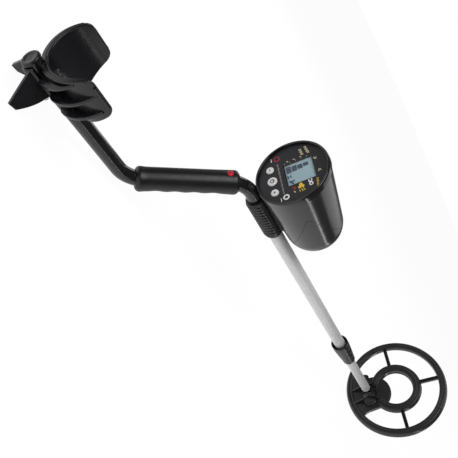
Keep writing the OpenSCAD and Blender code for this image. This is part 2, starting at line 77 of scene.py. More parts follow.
# ---------------------------------------------------------------- frames
@dataclass(frozen=True)
class Placing:
    """A frame of three unit axes on an origin; it takes local millimetres to metres in the row frame.

    Args:
        origin: the local origin, in metres, in the row frame.
        axes: the local X, Y and Z as rows.
    """

    origin: Array
    axes: Array

    def out(self, points: Array) -> Array:
        """Local points to the row frame: origin plus the points' sum along the axes."""
        return self.origin + (np.asarray(points, float) * MM) @ self.axes

    def turned(self, x_axis: Array, at: Sequence[float] = (0.0, 0.0, 0.0)) -> "Placing":
        """A frame at a local point whose X is x_axis and whose Y stays.

        Args:
            x_axis: the new X in the row frame, square to Y.
            at: the new origin, in this frame's millimetres.

        Returns:
            The new frame.
        """
        x = np.asarray(x_axis, float) / np.linalg.norm(x_axis)
        return Placing(self.out(np.array(at, float)), np.array([x, Y_AXIS, np.cross(x, Y_AXIS)]))


def joint(name: str) -> dict:
    """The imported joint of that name."""
    return next(j for j in frame["joints"] if j["name"] == name)


def axis_of(name: str) -> Array:
    """A joint's axis as an array."""
    return np.array(joint(name)["axis"], float)


def square_to(z_axis: Array) -> Array:
    """The X axis of a frame whose Y is the row's Y and whose Z is z_axis."""
    return np.cross(Y_AXIS, z_axis)


def mount_axis(name: str) -> Array:
    """A packed mount's axis as an array."""
    return np.array(next(m for m in frame["record"]["mounts"] if m["name"] == name)["axis"], float)


@dataclass(frozen=True)
class Layout:
    """The rod's run and the frames of the sub-assemblies, worked out as the part's source does.

    Args:
        handle_len: straight stretch under the grip.
        bend_r: centre line radius of both bends.
        stem_len: distance of the front bend's end from the coil pivot.
        arm_len: straight stretch behind the rear bend.
        cuff_back: distance of the cuff's centre behind the rear bend.
        face_back: distance of the face's centre behind the front bend's end.
        face_h: height of the face's centre over the stem.
    """

    handle_len: float = 120.0
    bend_r: float = 45.0
    stem_len: float = 798.0
    arm_len: float = 200.0
    cuff_back: float = 149.0
    face_back: float = 13.0
    face_h: float = 66.5

    @property
    def stem(self) -> Placing:
        """X along the stem to the coil, Z square to it, origin on the coil's pivot."""
        pivot = np.array(joint("coil_tilt")["pos_m"], float)
        return Placing(pivot, np.eye(3)).turned(-axis_of("stem_slide"))

    @property
    def handle_angle(self) -> float:
        """Angle of the handle stretch to the stem, in radians."""
        return math.acos(float(-axis_of("button_press") @ self.stem.axes[2]))

    @property
    def arm_z(self) -> float:
        """Height of the arm stretch's axis over the stem's."""
        drop = 2 * self.bend_r * (1 - math.cos(self.handle_angle))
        return -self.handle_len * math.sin(self.handle_angle) - drop

    @property
    def rear_bend_x(self) -> float:
        """Where the arm stretch meets the rear bend."""
        run = self.handle_len * math.cos(self.handle_angle)
        return -self.stem_len - run - 2 * self.bend_r * math.sin(self.handle_angle)

    @property
    def arm(self) -> Placing:
        """The stem's axes at the cuff's centre on the rod's axis."""
        return self.stem.turned(self.stem.axes[0], (self.rear_bend_x - self.cuff_back, 0, self.arm_z))

    @property
    def grip(self) -> Placing:
        """X along the handle stretch from its rear end, Z on the button's side."""
        z = -axis_of("button_press")
        bend_centre = self.stem.out(np.array([self.rear_bend_x, 0, self.arm_z + self.bend_r]))
        return Placing(bend_centre - z * self.bend_r * MM, np.array([square_to(z), Y_AXIS, z]))

    @property
    def face(self) -> Placing:
        """The round face's frame: X inwards, Z up the face, -Y to the operator's right."""
        at = (-self.stem_len - self.face_back, 0, self.face_h)
        return self.stem.turned(axis_of("left_key_press"), at)

    @property
    def box(self) -> Placing:
        """The box's frame: X from the face to the nose."""
        at = (-self.stem_len - self.face_back, 0, self.face_h)
        return self.stem.turned(axis_of("cover_pull"), at)

    @property
    def coil(self) -> Placing:
        """X forwards in the coil's plane, Z square to its upper side, origin on the pivot."""
        return self.stem.turned(square_to(-mount_axis("coil_face")))


# ---------------------------------------------------------------- meshes
@dataclass
class Surface:
    """Vertices in the row frame with quads and triangles."""

    vertices: Array
    quads: Array = field(default_factory=lambda: np.zeros((0, 4), int))
    tris: Array = field(default_factory=lambda: np.zeros((0, 3), int))

    def volume(self) -> float:
        """Signed volume: a sixth of the sum of each triangle's triple product."""
        q = self.quads
        t = np.vstack([q[:, [0, 1, 2]], q[:, [0, 2, 3]], self.tris])
        a, b, c = (self.vertices[t[:, k]] for k in range(3))
        return float(np.einsum("ij,ij->i", a, np.cross(b, c)).sum() / 6)

    def outward(self) -> "Surface":
        """The closed surface with its faces pointing outwards."""
        if self.volume() < 0:
            return Surface(self.vertices, self.quads[:, ::-1], self.tris[:, ::-1])
        return self

    def joined(self, other: "Surface") -> "Surface":
        """This surface and another as one."""
        n = len(self.vertices)
        return Surface(np.vstack([self.vertices, other.vertices]),
                       np.vstack([self.quads, other.quads + n]), np.vstack([self.tris, other.tris + n]))


def gather(surfaces: Sequence[Surface]) -> Surface:
    """Several surfaces as one."""
    whole = surfaces[0]
    for s in surfaces[1:]:
        whole = whole.joined(s)
    return whole


def sheet_grid(points: Array, wrap: bool = False) -> Surface:
    """An open sheet: quads between neighbours of a grid of points.

    Args:
        points: rows x columns x 3, in the row frame.
        wrap: whether the last column joins the first.

    Returns:
        The surface, not closed.
    """
    rows, cols = points.shape[:2]
    ids = np.arange(rows * cols).reshape(rows, cols)
    right = np.roll(ids, -1, axis=1)
    last = cols if wrap else cols - 1
    quads = np.stack([ids[:-1, :last], right[:-1, :last], right[1:, :last], ids[1:, :last]], axis=-1)
    return Surface(points.reshape(-1, 3), quads.reshape(-1, 4))


def closed_grid(points: Array, ring: bool = False) -> Surface:
    """A closed solid: a wrapped grid whose rows also wrap, or whose end rows close on their middles.

    Args:
        points: rows x columns x 3; each row is a closed loop.
        ring: True joins the last row to the first, as on a pipe wall.

    Returns:
        The closed surface, facing outwards.
    """
    rows, cols = points.shape[:2]
    if ring:
        looped = sheet_grid(np.concatenate([points, points[:1]]), wrap=True)
        return Surface(looped.vertices[: rows * cols], looped.quads % (rows * cols)).outward()
    side = sheet_grid(points, wrap=True)
    n = rows * cols
    first = np.arange(cols)
    last = first + n - cols
    caps = [np.stack([np.roll(first, -1), first, np.full(cols, n)], axis=1),
            np.stack([last, np.roll(last, -1), np.full(cols, n + 1)], axis=1)]
    middles = np.array([points[0].mean(axis=0), points[-1].mean(axis=0)])
    return Surface(np.vstack([side.vertices, middles]), side.quads, np.vstack(caps)).outward()


def lathe(place: Placing, profile: Sequence[Sequence[float]], turns: int = 96, ring: bool = False) -> Surface:
    """A solid turned about local X: each profile point (x, r) sweeps the circle (x, r sin a, r cos a).

    Args:
        place: the frame.
        profile: points along the section, as (x, radius).
        turns: steps round the axis.
        ring: whether the section is itself a closed loop.

    Returns:
        The closed surface.
    """
    p = np.array(profile, float)
    a = np.linspace(0, 2 * math.pi, turns, endpoint=False)
    return closed_grid(place.out(around(p[:, :1], p[:, 1:], a)), ring)


def arc_points(cx: float, cr: float, radius: float, start: float, end: float, steps: int = 6) -> list:
    """Points (cx + radius cos a, cr + radius sin a) for a from start to end.

    Args:
        cx: the centre along the axis.
        cr: the centre's distance from the axis.
        radius: the arc's radius.
        start: first angle, in degrees.
        end: last angle, in degrees.
        steps: pieces of the arc.

    Returns:
        The points as (x, radius) pairs.
    """
    a = np.radians(np.linspace(start, end, steps + 1))
    return np.stack([cx + radius * np.cos(a), cr + radius * np.sin(a)], axis=1).tolist()


def outline_normals(outline: Array) -> Array:
    """Unit normals of a counter-clockwise closed outline, from its neighbours' difference."""
    along = np.roll(outline, -1, axis=0) - np.roll(outline, 1, axis=0)
    along /= np.linalg.norm(along, axis=1, keepdims=True) + 1e-12
    return np.stack([along[:, 1], -along[:, 0]], axis=1)


def plate(place: Placing, outline: Array, low: float, high: float, edge: float,
          lift: Callable[[Array], Array]) -> Surface:
    """A plate with quarter-round edges: the outline, drawn in by edge (1 - sin a) near both faces.

    Args:
        place: the frame.
        outline: counter-clockwise closed outline, n x 2.
        low: height of the lower face.
        high: height of the upper face.
        edge: radius of the edges.
        lift: puts (u, v, height) rows into the frame's own axes.

    Returns:
        The closed surface.
    """
    normals = outline_normals(outline)
    a = np.radians(np.linspace(0, 90, 5))
    inset = np.concatenate([edge * (1 - np.sin(a)), edge * (1 - np.sin(a[::-1]))])
    height = np.concatenate([low + edge * (1 - np.cos(a)), high - edge * (1 - np.cos(a[::-1]))])
    flat = outline[None] - inset[:, None, None] * normals[None]
    tall = np.repeat(height[:, None, None], len(outline), axis=1)
    return closed_grid(place.out(lift(np.concatenate([flat, tall], axis=2))))


def as_xy(p: Array) -> Array:
    """(u, v, height) as (X, Y, Z)."""
    return p


def as_xz(p: Array) -> Array:
    """(u, v, height) as (X, height, Z)."""
    return p[..., [0, 2, 1]]


def as_face(p: Array) -> Array:
    """(right, up, height towards the operator) as the face's (X, Y, Z)."""
    return np.stack([-p[..., 2], -p[..., 0], p[..., 1]], axis=-1)


def swept(place: Placing, path: Array, across: Array, up: Array) -> Surface:
    """A bar along a path: the section's (u, v) laid on two unit vectors square to the path.

    Args:
        place: the frame.
        path: n x 3 points.
        across: section points, m x 2, as (side, up).
        up: n x 3 directions that the section's v follows.

    Returns:
        The closed surface.
    """
    along = np.gradient(path, axis=0)
    along /= np.linalg.norm(along, axis=1, keepdims=True)
    side = np.cross(along, up)
    side /= np.linalg.norm(side, axis=1, keepdims=True)
    over = np.cross(side, along)
    grid = path[:, None] + across[None, :, :1] * side[:, None] + across[None, :, 1:] * over[:, None]
    return closed_grid(place.out(grid))


def oval(width: float, height: float, steps: int = 20) -> Array:
    """An ellipse's points, width by height across."""
    a = np.linspace(0, 2 * math.pi, steps, endpoint=False)
    return np.stack([width / 2 * np.cos(a), height / 2 * np.sin(a)], axis=1)


def rounded_box(width: float, height: float, radius: float, steps: int = 6) -> Array:
    """A counter-clockwise rounded rectangle about its middle.

    Args:
        width: size along u.
        height: size along v.
        radius: radius of its corners.
        steps: pieces of each corner.

    Returns:
        The outline, n x 2.
    """
    w, h = width / 2 - radius, height / 2 - radius
    quarter = np.radians(np.linspace(0, 90, steps + 1))
    corners = [(w, h, 0), (-w, h, 90), (-w, -h, 180), (w, -h, 270)]
    parts = [np.stack([cx + radius * np.cos(quarter + math.radians(a)),
                       cy + radius * np.sin(quarter + math.radians(a))], axis=1) for cx, cy, a in corners]
    return np.vstack(parts)


def around(x: Array, r: Array, a: Array) -> Array:
    """Grid points (x, r sin a, r cos a) of a surface turned about local X.

    Args:
        x: distance along the axis.
        r: radius, which may change along the axis and with the angle.
        a: angle from local Z towards local Y.

    Returns:
        The points, with their coordinates on the last axis.
    """
    return np.stack([x + 0 * a, r * np.sin(a), r * np.cos(a)], axis=-1)


def linked(name: str, data: bpy.types.ID) -> bpy.types.Object:
    """A new object of that name on some data, in the scene's collection."""
    obj = bpy.data.objects.new(name, data)
    bpy.context.scene.collection.objects.link(obj)
    return obj


@dataclass(frozen=True)
class Edging:
    """How a sheet is thickened and its edges broken: wall and bevel in millimetres."""

    wall: float = 0.0
    offset: float = -1.0
    bevel: float = 0.0


def make(name: str, surface: Surface, material: bpy.types.Material, body: Body,
         replaces: Sequence[str] = (), edging: Edging = Edging(), sharp: float = 40.0) -> bpy.types.Object:
    """Puts a surface into the scene as a piece that rides on a body.

    Args:
        name: the piece's name.
        surface: its vertices and faces, in metres in the row frame.
        material: its finish.
        body: the body it rides on.
        replaces: CAD nodes it stands for.
        edging: wall thickness and broken edges, as live modifiers.
        sharp: edges that fold more than this many degrees shade as sharp.

    Returns:
        The object.
    """
    mesh = bpy.data.meshes.new(name)
    mesh.from_pydata(surface.vertices.tolist(), [], surface.quads.tolist() + surface.tris.tolist())
    mesh.polygons.foreach_set("use_smooth", np.ones(len(mesh.polygons), bool))
    mesh.set_sharp_from_angle(angle=math.radians(sharp))
    mesh.materials.append(material)
    obj = linked(name, mesh)
    if edging.wall:
        solid = obj.modifiers.new("wall", "SOLIDIFY")
        solid.thickness = edging.wall * MM
        solid.offset = edging.offset
        solid.use_even_offset = True
    if edging.bevel:
        bevel = obj.modifiers.new("broken_edges", "BEVEL")
        bevel.width = edging.bevel * MM
        bevel.segments = 3
        bevel.limit_method = "ANGLE"
        bevel.angle_limit = math.radians(50)
        bevel.harden_normals = True
    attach(obj, body.value)
    if replaces:
        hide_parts(*replaces)
    log.info("%s: %d faces on %s", name, len(mesh.polygons), body.value)
    return obj


# ---------------------------------------------------------------- finishes
@dataclass(frozen=True)
class Moulding:
    """A moulded or painted finish.

    Args:
        name: the material's name.
        colour: main colour, linear RGB.
        roughness: mean roughness; it wanders by spread.
        spread: how far roughness wanders over the surface.
        grain: cells of the fine grain per metre.
        relief: strength of the grain's bump.
        tint: how much lighter the broad mottling is, as a factor.
        coat: clear coat weight.
    """

    name: str
    colour: tuple[float, float, float]
    roughness: float = 0.4
    spread: float = 0.08
    grain: float = 2500.0
    relief: float = 0.15
    tint: float = 1.35
    coat: float = 0.0


@dataclass(frozen=True)
class Metal:
    """A metal finish with lines drawn along one axis.

    Args:
        name: the material's name.
        colour: main colour, linear RGB.
        roughness: mean roughness.
        lines: cells across the drawn lines per metre.
        tilt: turn of the lines about Y, in radians.
        relief: strength of the lines' bump.
        metallic: share of metal; an anodised layer scatters a little.
    """

    name: str
    colour: tuple[float, float, float]
    roughness: float = 0.3
    lines: float = 1800.0
    tilt: float = 0.0
    relief: float = 0.06
    metallic: float = 1.0


def blank(name: str) -> tuple[bpy.types.Material, bpy.types.NodeTree, bpy.types.Node]:
    """A new material with its tree emptied but for an output and a shader.

    Args:
        name: the material's name.

    Returns:
        The material, its tree and its Principled shader.
    """
    material = bpy.data.materials.new(name)
    material.use_nodes = True
    tree = material.node_tree
    tree.nodes.clear()
    output = tree.nodes.new("ShaderNodeOutputMaterial")
    output.label = "Finished surface"
    output.location = (700, 0)
    shader = tree.nodes.new("ShaderNodeBsdfPrincipled")
    shader.label = "Surface of the piece"
    shader.location = (400, 0)
    tree.links.new(shader.outputs["BSDF"], output.inputs["Surface"])
    return material, tree, shader


def grouped(tree: bpy.types.NodeTree, label: str, nodes: Sequence[bpy.types.Node]) -> None:
    """Puts nodes that make one effect into a labelled frame.

    Args:
        tree: the material's tree.
        label: what the nodes do together.
        nodes: the nodes.
    """
    holder = tree.nodes.new("NodeFrame")
    holder.label = label
    for n in nodes:
        n.parent = holder


def moulded(finish: Moulding) -> bpy.types.Material:
    """Plastic, rubber or paint: broad mottling in the colour, wandering roughness and a fine grain.

    Args:
        finish: the numbers of the finish.

    Returns:
        The material.
    """
    material, tree, shader = blank(finish.name)
    place = tree.nodes.new("ShaderNodeTexCoord")
    place.label = "Place on the piece"
    place.location = (-900, 0)

    cloud = tree.nodes.new("ShaderNodeTexNoise")
    cloud.label = "Broad mottling of the moulding"
    cloud.location = (-650, 250)
    cloud.inputs["Scale"].default_value = 38.0
    cloud.inputs["Detail"].default_value = 4.0
    colours = tree.nodes.new("ShaderNodeValToRGB")
    colours.label = "Dark and light of the colour"
    colours.location = (-400, 250)
    colours.color_ramp.elements[0].position = 0.3
    colours.color_ramp.elements[0].color = (*finish.colour, 1.0)
    colours.color_ramp.elements[1].position = 0.75
    colours.color_ramp.elements[1].color = (*[min(1.0, c * finish.tint) for c in finish.colour], 1.0)
    tree.links.new(place.outputs["Object"], cloud.inputs["Vector"])
    tree.links.new(cloud.outputs["Fac"], colours.inputs["Fac"])
    tree.links.new(colours.outputs["Color"], shader.inputs["Base Color"])
    grouped(tree, "Colour", [cloud, colours])

    handled = tree.nodes.new("ShaderNodeTexNoise")
    handled.label = "Where hands have polished it"
    handled.location = (-650, 0)
    handled.inputs["Scale"].default_value = 90.0
    handled.inputs["Detail"].default_value = 6.0
    sheen = tree.nodes.new("ShaderNodeMapRange")
    sheen.label = "Roughness wanders"
    sheen.location = (-400, 0)
    sheen.inputs["To Min"].default_value = max(0.02, finish.roughness - finish.spread)
    sheen.inputs["To Max"].default_value = finish.roughness + finish.spread
    tree.links.new(place.outputs["Object"], handled.inputs["Vector"])
    tree.links.new(handled.outputs["Fac"], sheen.inputs["Value"])
    tree.links.new(sheen.outputs["Result"], shader.inputs["Roughness"])
    grouped(tree, "Polish", [handled, sheen])

    grain = tree.nodes.new("ShaderNodeTexNoise")
    grain.label = "Fine grain of the mould"
    grain.location = (-650, -280)
    grain.inputs["Scale"].default_value = finish.grain
    grain.inputs["Detail"].default_value = 2.0
    relief = tree.nodes.new("ShaderNodeBump")
    relief.label = "Grain stands proud"
    relief.location = (-400, -280)
    relief.inputs["Strength"].default_value = finish.relief
    relief.inputs["Distance"].default_value = 0.0002
    tree.links.new(place.outputs["Object"], grain.inputs["Vector"])
    tree.links.new(grain.outputs["Fac"], relief.inputs["Height"])
    tree.links.new(relief.outputs["Normal"], shader.inputs["Normal"])
    grouped(tree, "Grain", [grain, relief])

    shader.inputs["Coat Weight"].default_value = finish.coat
    shader.inputs["Coat Roughness"].default_value = 0.12
    return material


def drawn_metal(finish: Metal) -> bpy.types.Material:
    """Drawn or anodised metal: a noise stretched along the drawing lines drives colour, roughness and bump.

    Args:
        finish: the numbers of the finish.

    Returns:
        The material.
    """
    material, tree, shader = blank(finish.name)
    place = tree.nodes.new("ShaderNodeTexCoord")
    place.label = "Place on the piece"
    place.location = (-1100, 0)
    stretch = tree.nodes.new("ShaderNodeMapping")
    stretch.label = "Lines run along the tube"
    stretch.location = (-900, 0)
    stretch.inputs["Rotation"].default_value = (0.0, -finish.tilt, 0.0)
    stretch.inputs["Scale"].default_value = (0.02, 1.0, 1.0)
    lines = tree.nodes.new("ShaderNodeTexNoise")
    lines.label = "Drawing lines"
    lines.location = (-650, 0)
    lines.inputs["Scale"].default_value = finish.lines
    lines.inputs["Detail"].default_value = 3.0
    tree.links.new(place.outputs["Object"], stretch.inputs["Vector"])
    tree.links.new(stretch.outputs["Vector"], lines.inputs["Vector"])
    grouped(tree, "Drawing lines", [stretch, lines])

    colours = tree.nodes.new("ShaderNodeValToRGB")
    colours.label = "Bright and dull of the metal"
    colours.location = (-350, 200)
    colours.color_ramp.elements[0].position = 0.3
    colours.color_ramp.elements[0].color = (*[c * 0.9 for c in finish.colour], 1.0)
    colours.color_ramp.elements[1].position = 0.7
    colours.color_ramp.elements[1].color = (*finish.colour, 1.0)
    tree.links.new(lines.outputs["Fac"], colours.inputs["Fac"])
    tree.links.new(colours.outputs["Color"], shader.inputs["Base Color"])

    satin = tree.nodes.new("ShaderNodeMapRange")
    satin.label = "Satin wanders"
    satin.location = (-350, -50)
    satin.inputs["To Min"].default_value = finish.roughness - 0.06
    satin.inputs["To Max"].default_value = finish.roughness + 0.06
    tree.links.new(lines.outputs["Fac"], satin.inputs["Value"])
    tree.links.new(satin.outputs["Result"], shader.inputs["Roughness"])

    relief = tree.nodes.new("ShaderNodeBump")
    relief.label = "Lines stand proud"
    relief.location = (-350, -300)
    relief.inputs["Strength"].default_value = finish.relief
    relief.inputs["Distance"].default_value = 0.0001
    tree.links.new(lines.outputs["Fac"], relief.inputs["Height"])
    tree.links.new(relief.outputs["Normal"], shader.inputs["Normal"])
    grouped(tree, "What the lines do", [colours, satin, relief])
    shader.inputs["Metallic"].default_value = finish.metallic
    return material


def clear_window() -> bpy.types.Material:
    """A clear pane: nearly see-through, with a smooth gloss that faint smears break up.

    Returns:
        The material.
    """
    material, tree, shader = blank("clear_window")
    place = tree.nodes.new("ShaderNodeTexCoord")
    place.label = "Place on the pane"
    place.location = (-900, 0)
    smears = tree.nodes.new("ShaderNodeTexNoise")
    smears.label = "Faint smears"
    smears.location = (-650, 0)
    smears.inputs["Scale"].default_value = 60.0
    gloss = tree.nodes.new("ShaderNodeMapRange")
    gloss.label = "Smears dull the gloss"
    gloss.location = (-400, 0)
    gloss.inputs["To Min"].default_value = 0.03
    gloss.inputs["To Max"].default_value = 0.14
    tree.links.new(place.outputs["Object"], smears.inputs["Vector"])
    tree.links.new(smears.outputs["Fac"], gloss.inputs["Value"])
    tree.links.new(gloss.outputs["Result"], shader.inputs["Roughness"])
    grouped(tree, "Smears", [smears, gloss])
    shader.inputs["Base Color"].default_value = (0.75, 0.85, 0.9, 1.0)
    shader.inputs["Alpha"].default_value = 0.06
    shader.inputs["Specular IOR Level"].default_value = 0.25
    return material


def finish_of(numbers: "Moulding | Metal") -> bpy.types.Material:
    """A dataclass field that makes the material of a moulding or a metal when the class is made."""
    build = moulded if isinstance(numbers, Moulding) else drawn_metal
    return field(default_factory=lambda: build(numbers))


def tube_tilt() -> float:
    """Downward tilt of the stem, in radians, for the drawing lines."""
    slope = -axis_of("stem_slide")
    return math.atan2(-slope[2], slope[0])


@dataclass
class Finishes:
    """Every finish on the detector, made once."""

    paint: bpy.types.Material = finish_of(
        Moulding("gloss_black_paint", (0.005, 0.005, 0.006), 0.16, 0.05, 900.0, 0.04, 1.5, 0.4))
    satin: bpy.types.Material = finish_of(
        Moulding("satin_black_moulding", (0.007, 0.007, 0.009), 0.27, 0.06, 3000.0, 0.1))
    box: bpy.types.Material = finish_of(
        Moulding("glossy_grey_moulding", (0.012, 0.012, 0.014), 0.2, 0.04, 1500.0, 0.05, 1.25, 0.2))
    rubber: bpy.types.Material = finish_of(Moulding("soft_touch_grip", (0.007, 0.007, 0.008), 0.34, 0.07, 4200.0, 0.25))
    dark: bpy.types.Material = finish_of(Moulding("matt_black_moulding", (0.01, 0.01, 0.011), 0.48, 0.08, 3200.0, 0.2))
    coil: bpy.types.Material = finish_of(
        Moulding("satin_charcoal_moulding", (0.022, 0.022, 0.024), 0.27, 0.06, 2600.0, 0.16, 1.3))
    film: bpy.types.Material = finish_of(Moulding("panel_film", (0.012, 0.012, 0.015), 0.42, 0.05, 5200.0, 0.2, 1.25))
    red: bpy.types.Material = finish_of(
        Moulding("red_button", (0.68, 0.012, 0.03), 0.25, 0.05, 1500.0, 0.05, 1.15, 0.3))
    key: bpy.types.Material = finish_of(Moulding("white_key", (0.86, 0.86, 0.87), 0.38, 0.06, 3000.0, 0.1, 1.08))
    lcd: bpy.types.Material = finish_of(Moulding("display_blue", (0.36, 0.52, 0.58), 0.6, 0.02, 300.0, 0.0, 1.06))
    segment: bpy.types.Material = finish_of(Moulding("display_segments", (0.003, 0.014, 0.06), 0.6, 0.02, 300.0, 0.0))
    cream: bpy.types.Material = finish_of(Moulding("cream_print", (0.7, 0.62, 0.4), 0.5, 0.05, 3000.0, 0.05))
    yellow: bpy.types.Material = finish_of(Moulding("yellow_print", (0.75, 0.5, 0.05), 0.5, 0.05, 3000.0, 0.05))
    crimson: bpy.types.Material = finish_of(Moulding("red_print", (0.4, 0.02, 0.03), 0.5, 0.05, 3000.0, 0.05))
    white: bpy.types.Material = finish_of(Moulding("white_print", (0.9, 0.9, 0.9), 0.5, 0.05, 3000.0, 0.05))
    grey: bpy.types.Material = finish_of(Moulding("grey_print", (0.3, 0.26, 0.27), 0.5, 0.05, 3000.0, 0.05))
    ink: bpy.types.Material = finish_of(Moulding("key_ink", (0.02, 0.02, 0.025), 0.5, 0.05, 3000.0, 0.05))
    board: bpy.types.Material = finish_of(Moulding("board_green", (0.02, 0.16, 0.06), 0.3, 0.05, 800.0, 0.1))
    cell: bpy.types.Material = finish_of(Moulding("cell_sleeve", (0.06, 0.15, 0.4), 0.3, 0.05, 900.0, 0.05, 1.2, 0.3))
    tube: bpy.types.Material = finish_of(Metal("anodised_tube", (0.9, 0.9, 0.91), 0.5, 900.0, tube_tilt(), 0.004, 0.2))
    steel: bpy.types.Material = finish_of(Metal("zinc_steel", (0.55, 0.56, 0.58), 0.3))
    copper: bpy.types.Material = finish_of(Metal("copper_wire", (0.72, 0.32, 0.14), 0.28, 4000.0))
    window: bpy.types.Material = field(default_factory=clear_window)


# ---------------------------------------------------------------- upper rod
@dataclass
class UpperRod:
    """The S-bent rod with its end cap."""

    layout: Layout
    finish: Finishes
    radius: float = 11.0
    reach: float = 58.0

    def centre_line(self) -> tuple[Array, Array]:
        """The rod's axis in the stem's frame: arm stretch, arc, handle stretch, arc, stem stretch.

        Returns:
            The points and, at each, the direction in the plane that is square to the run.
        """
        run, beta, bend = self.layout, self.layout.handle_angle, self.layout.bend_r
        turn = np.linspace(0, beta, 25)
        rear = np.array([run.rear_bend_x, run.arm_z + bend])
        arm = np.stack([np.linspace(-run.arm_len, -1, 12), np.zeros(12)], axis=1) + [run.rear_bend_x, run.arm_z]
        first = rear + bend * np.stack([np.sin(turn), -np.cos(turn)], axis=1)
        way = np.array([math.cos(beta), math.sin(beta)])
        middle = first[-1] + np.linspace(2, run.handle_len - 2, 12)[:, None] * way
        front = first[-1] + run.handle_len * way + bend * np.array([way[1], -way[0]])
        back = beta - turn
        second = front + bend * np.stack([-np.sin(back), np.cos(back)], axis=1)
        stem = np.stack([np.linspace(1, self.reach, 8), np.zeros(8)], axis=1) + [-run.stem_len, 0]
        flat = np.vstack([arm, first, middle, second, stem])
        points = np.stack([flat[:, 0], np.zeros(len(flat)), flat[:, 1]], axis=1)
        slope = np.gradient(points, axis=0)
        up = np.stack([-slope[:, 2], np.zeros(len(flat)), slope[:, 0]], axis=1)
        return points, up

    def build(self) -> None:
        """Makes the rod and its cap."""
        points, up = self.centre_line()
        tube = swept(self.layout.stem, points, oval(2 * self.radius, 2 * self.radius, 64), up)
        make("bent_rod", tube, self.finish.paint, Body.UPPER, ["s_rod"])
        end = Placing(self.layout.stem.out(np.array([self.layout.rear_bend_x - self.layout.arm_len, 0,
                                                     self.layout.arm_z])), self.layout.stem.axes)
        profile = [[0.0, 9.4], [0.0, 11.4], [-0.6, 12.4]] + arc_points(-2.5, 10.1, 2.3, 90, 180)
        profile += [[-4.75, 7.6], [-4.4, 7.1], [-4.2, 3.0], [-4.3, 0.01]]
        make("rod_plug", lathe(end, profile, 72), self.finish.satin, Body.UPPER,
             ["rod_end_cap"])


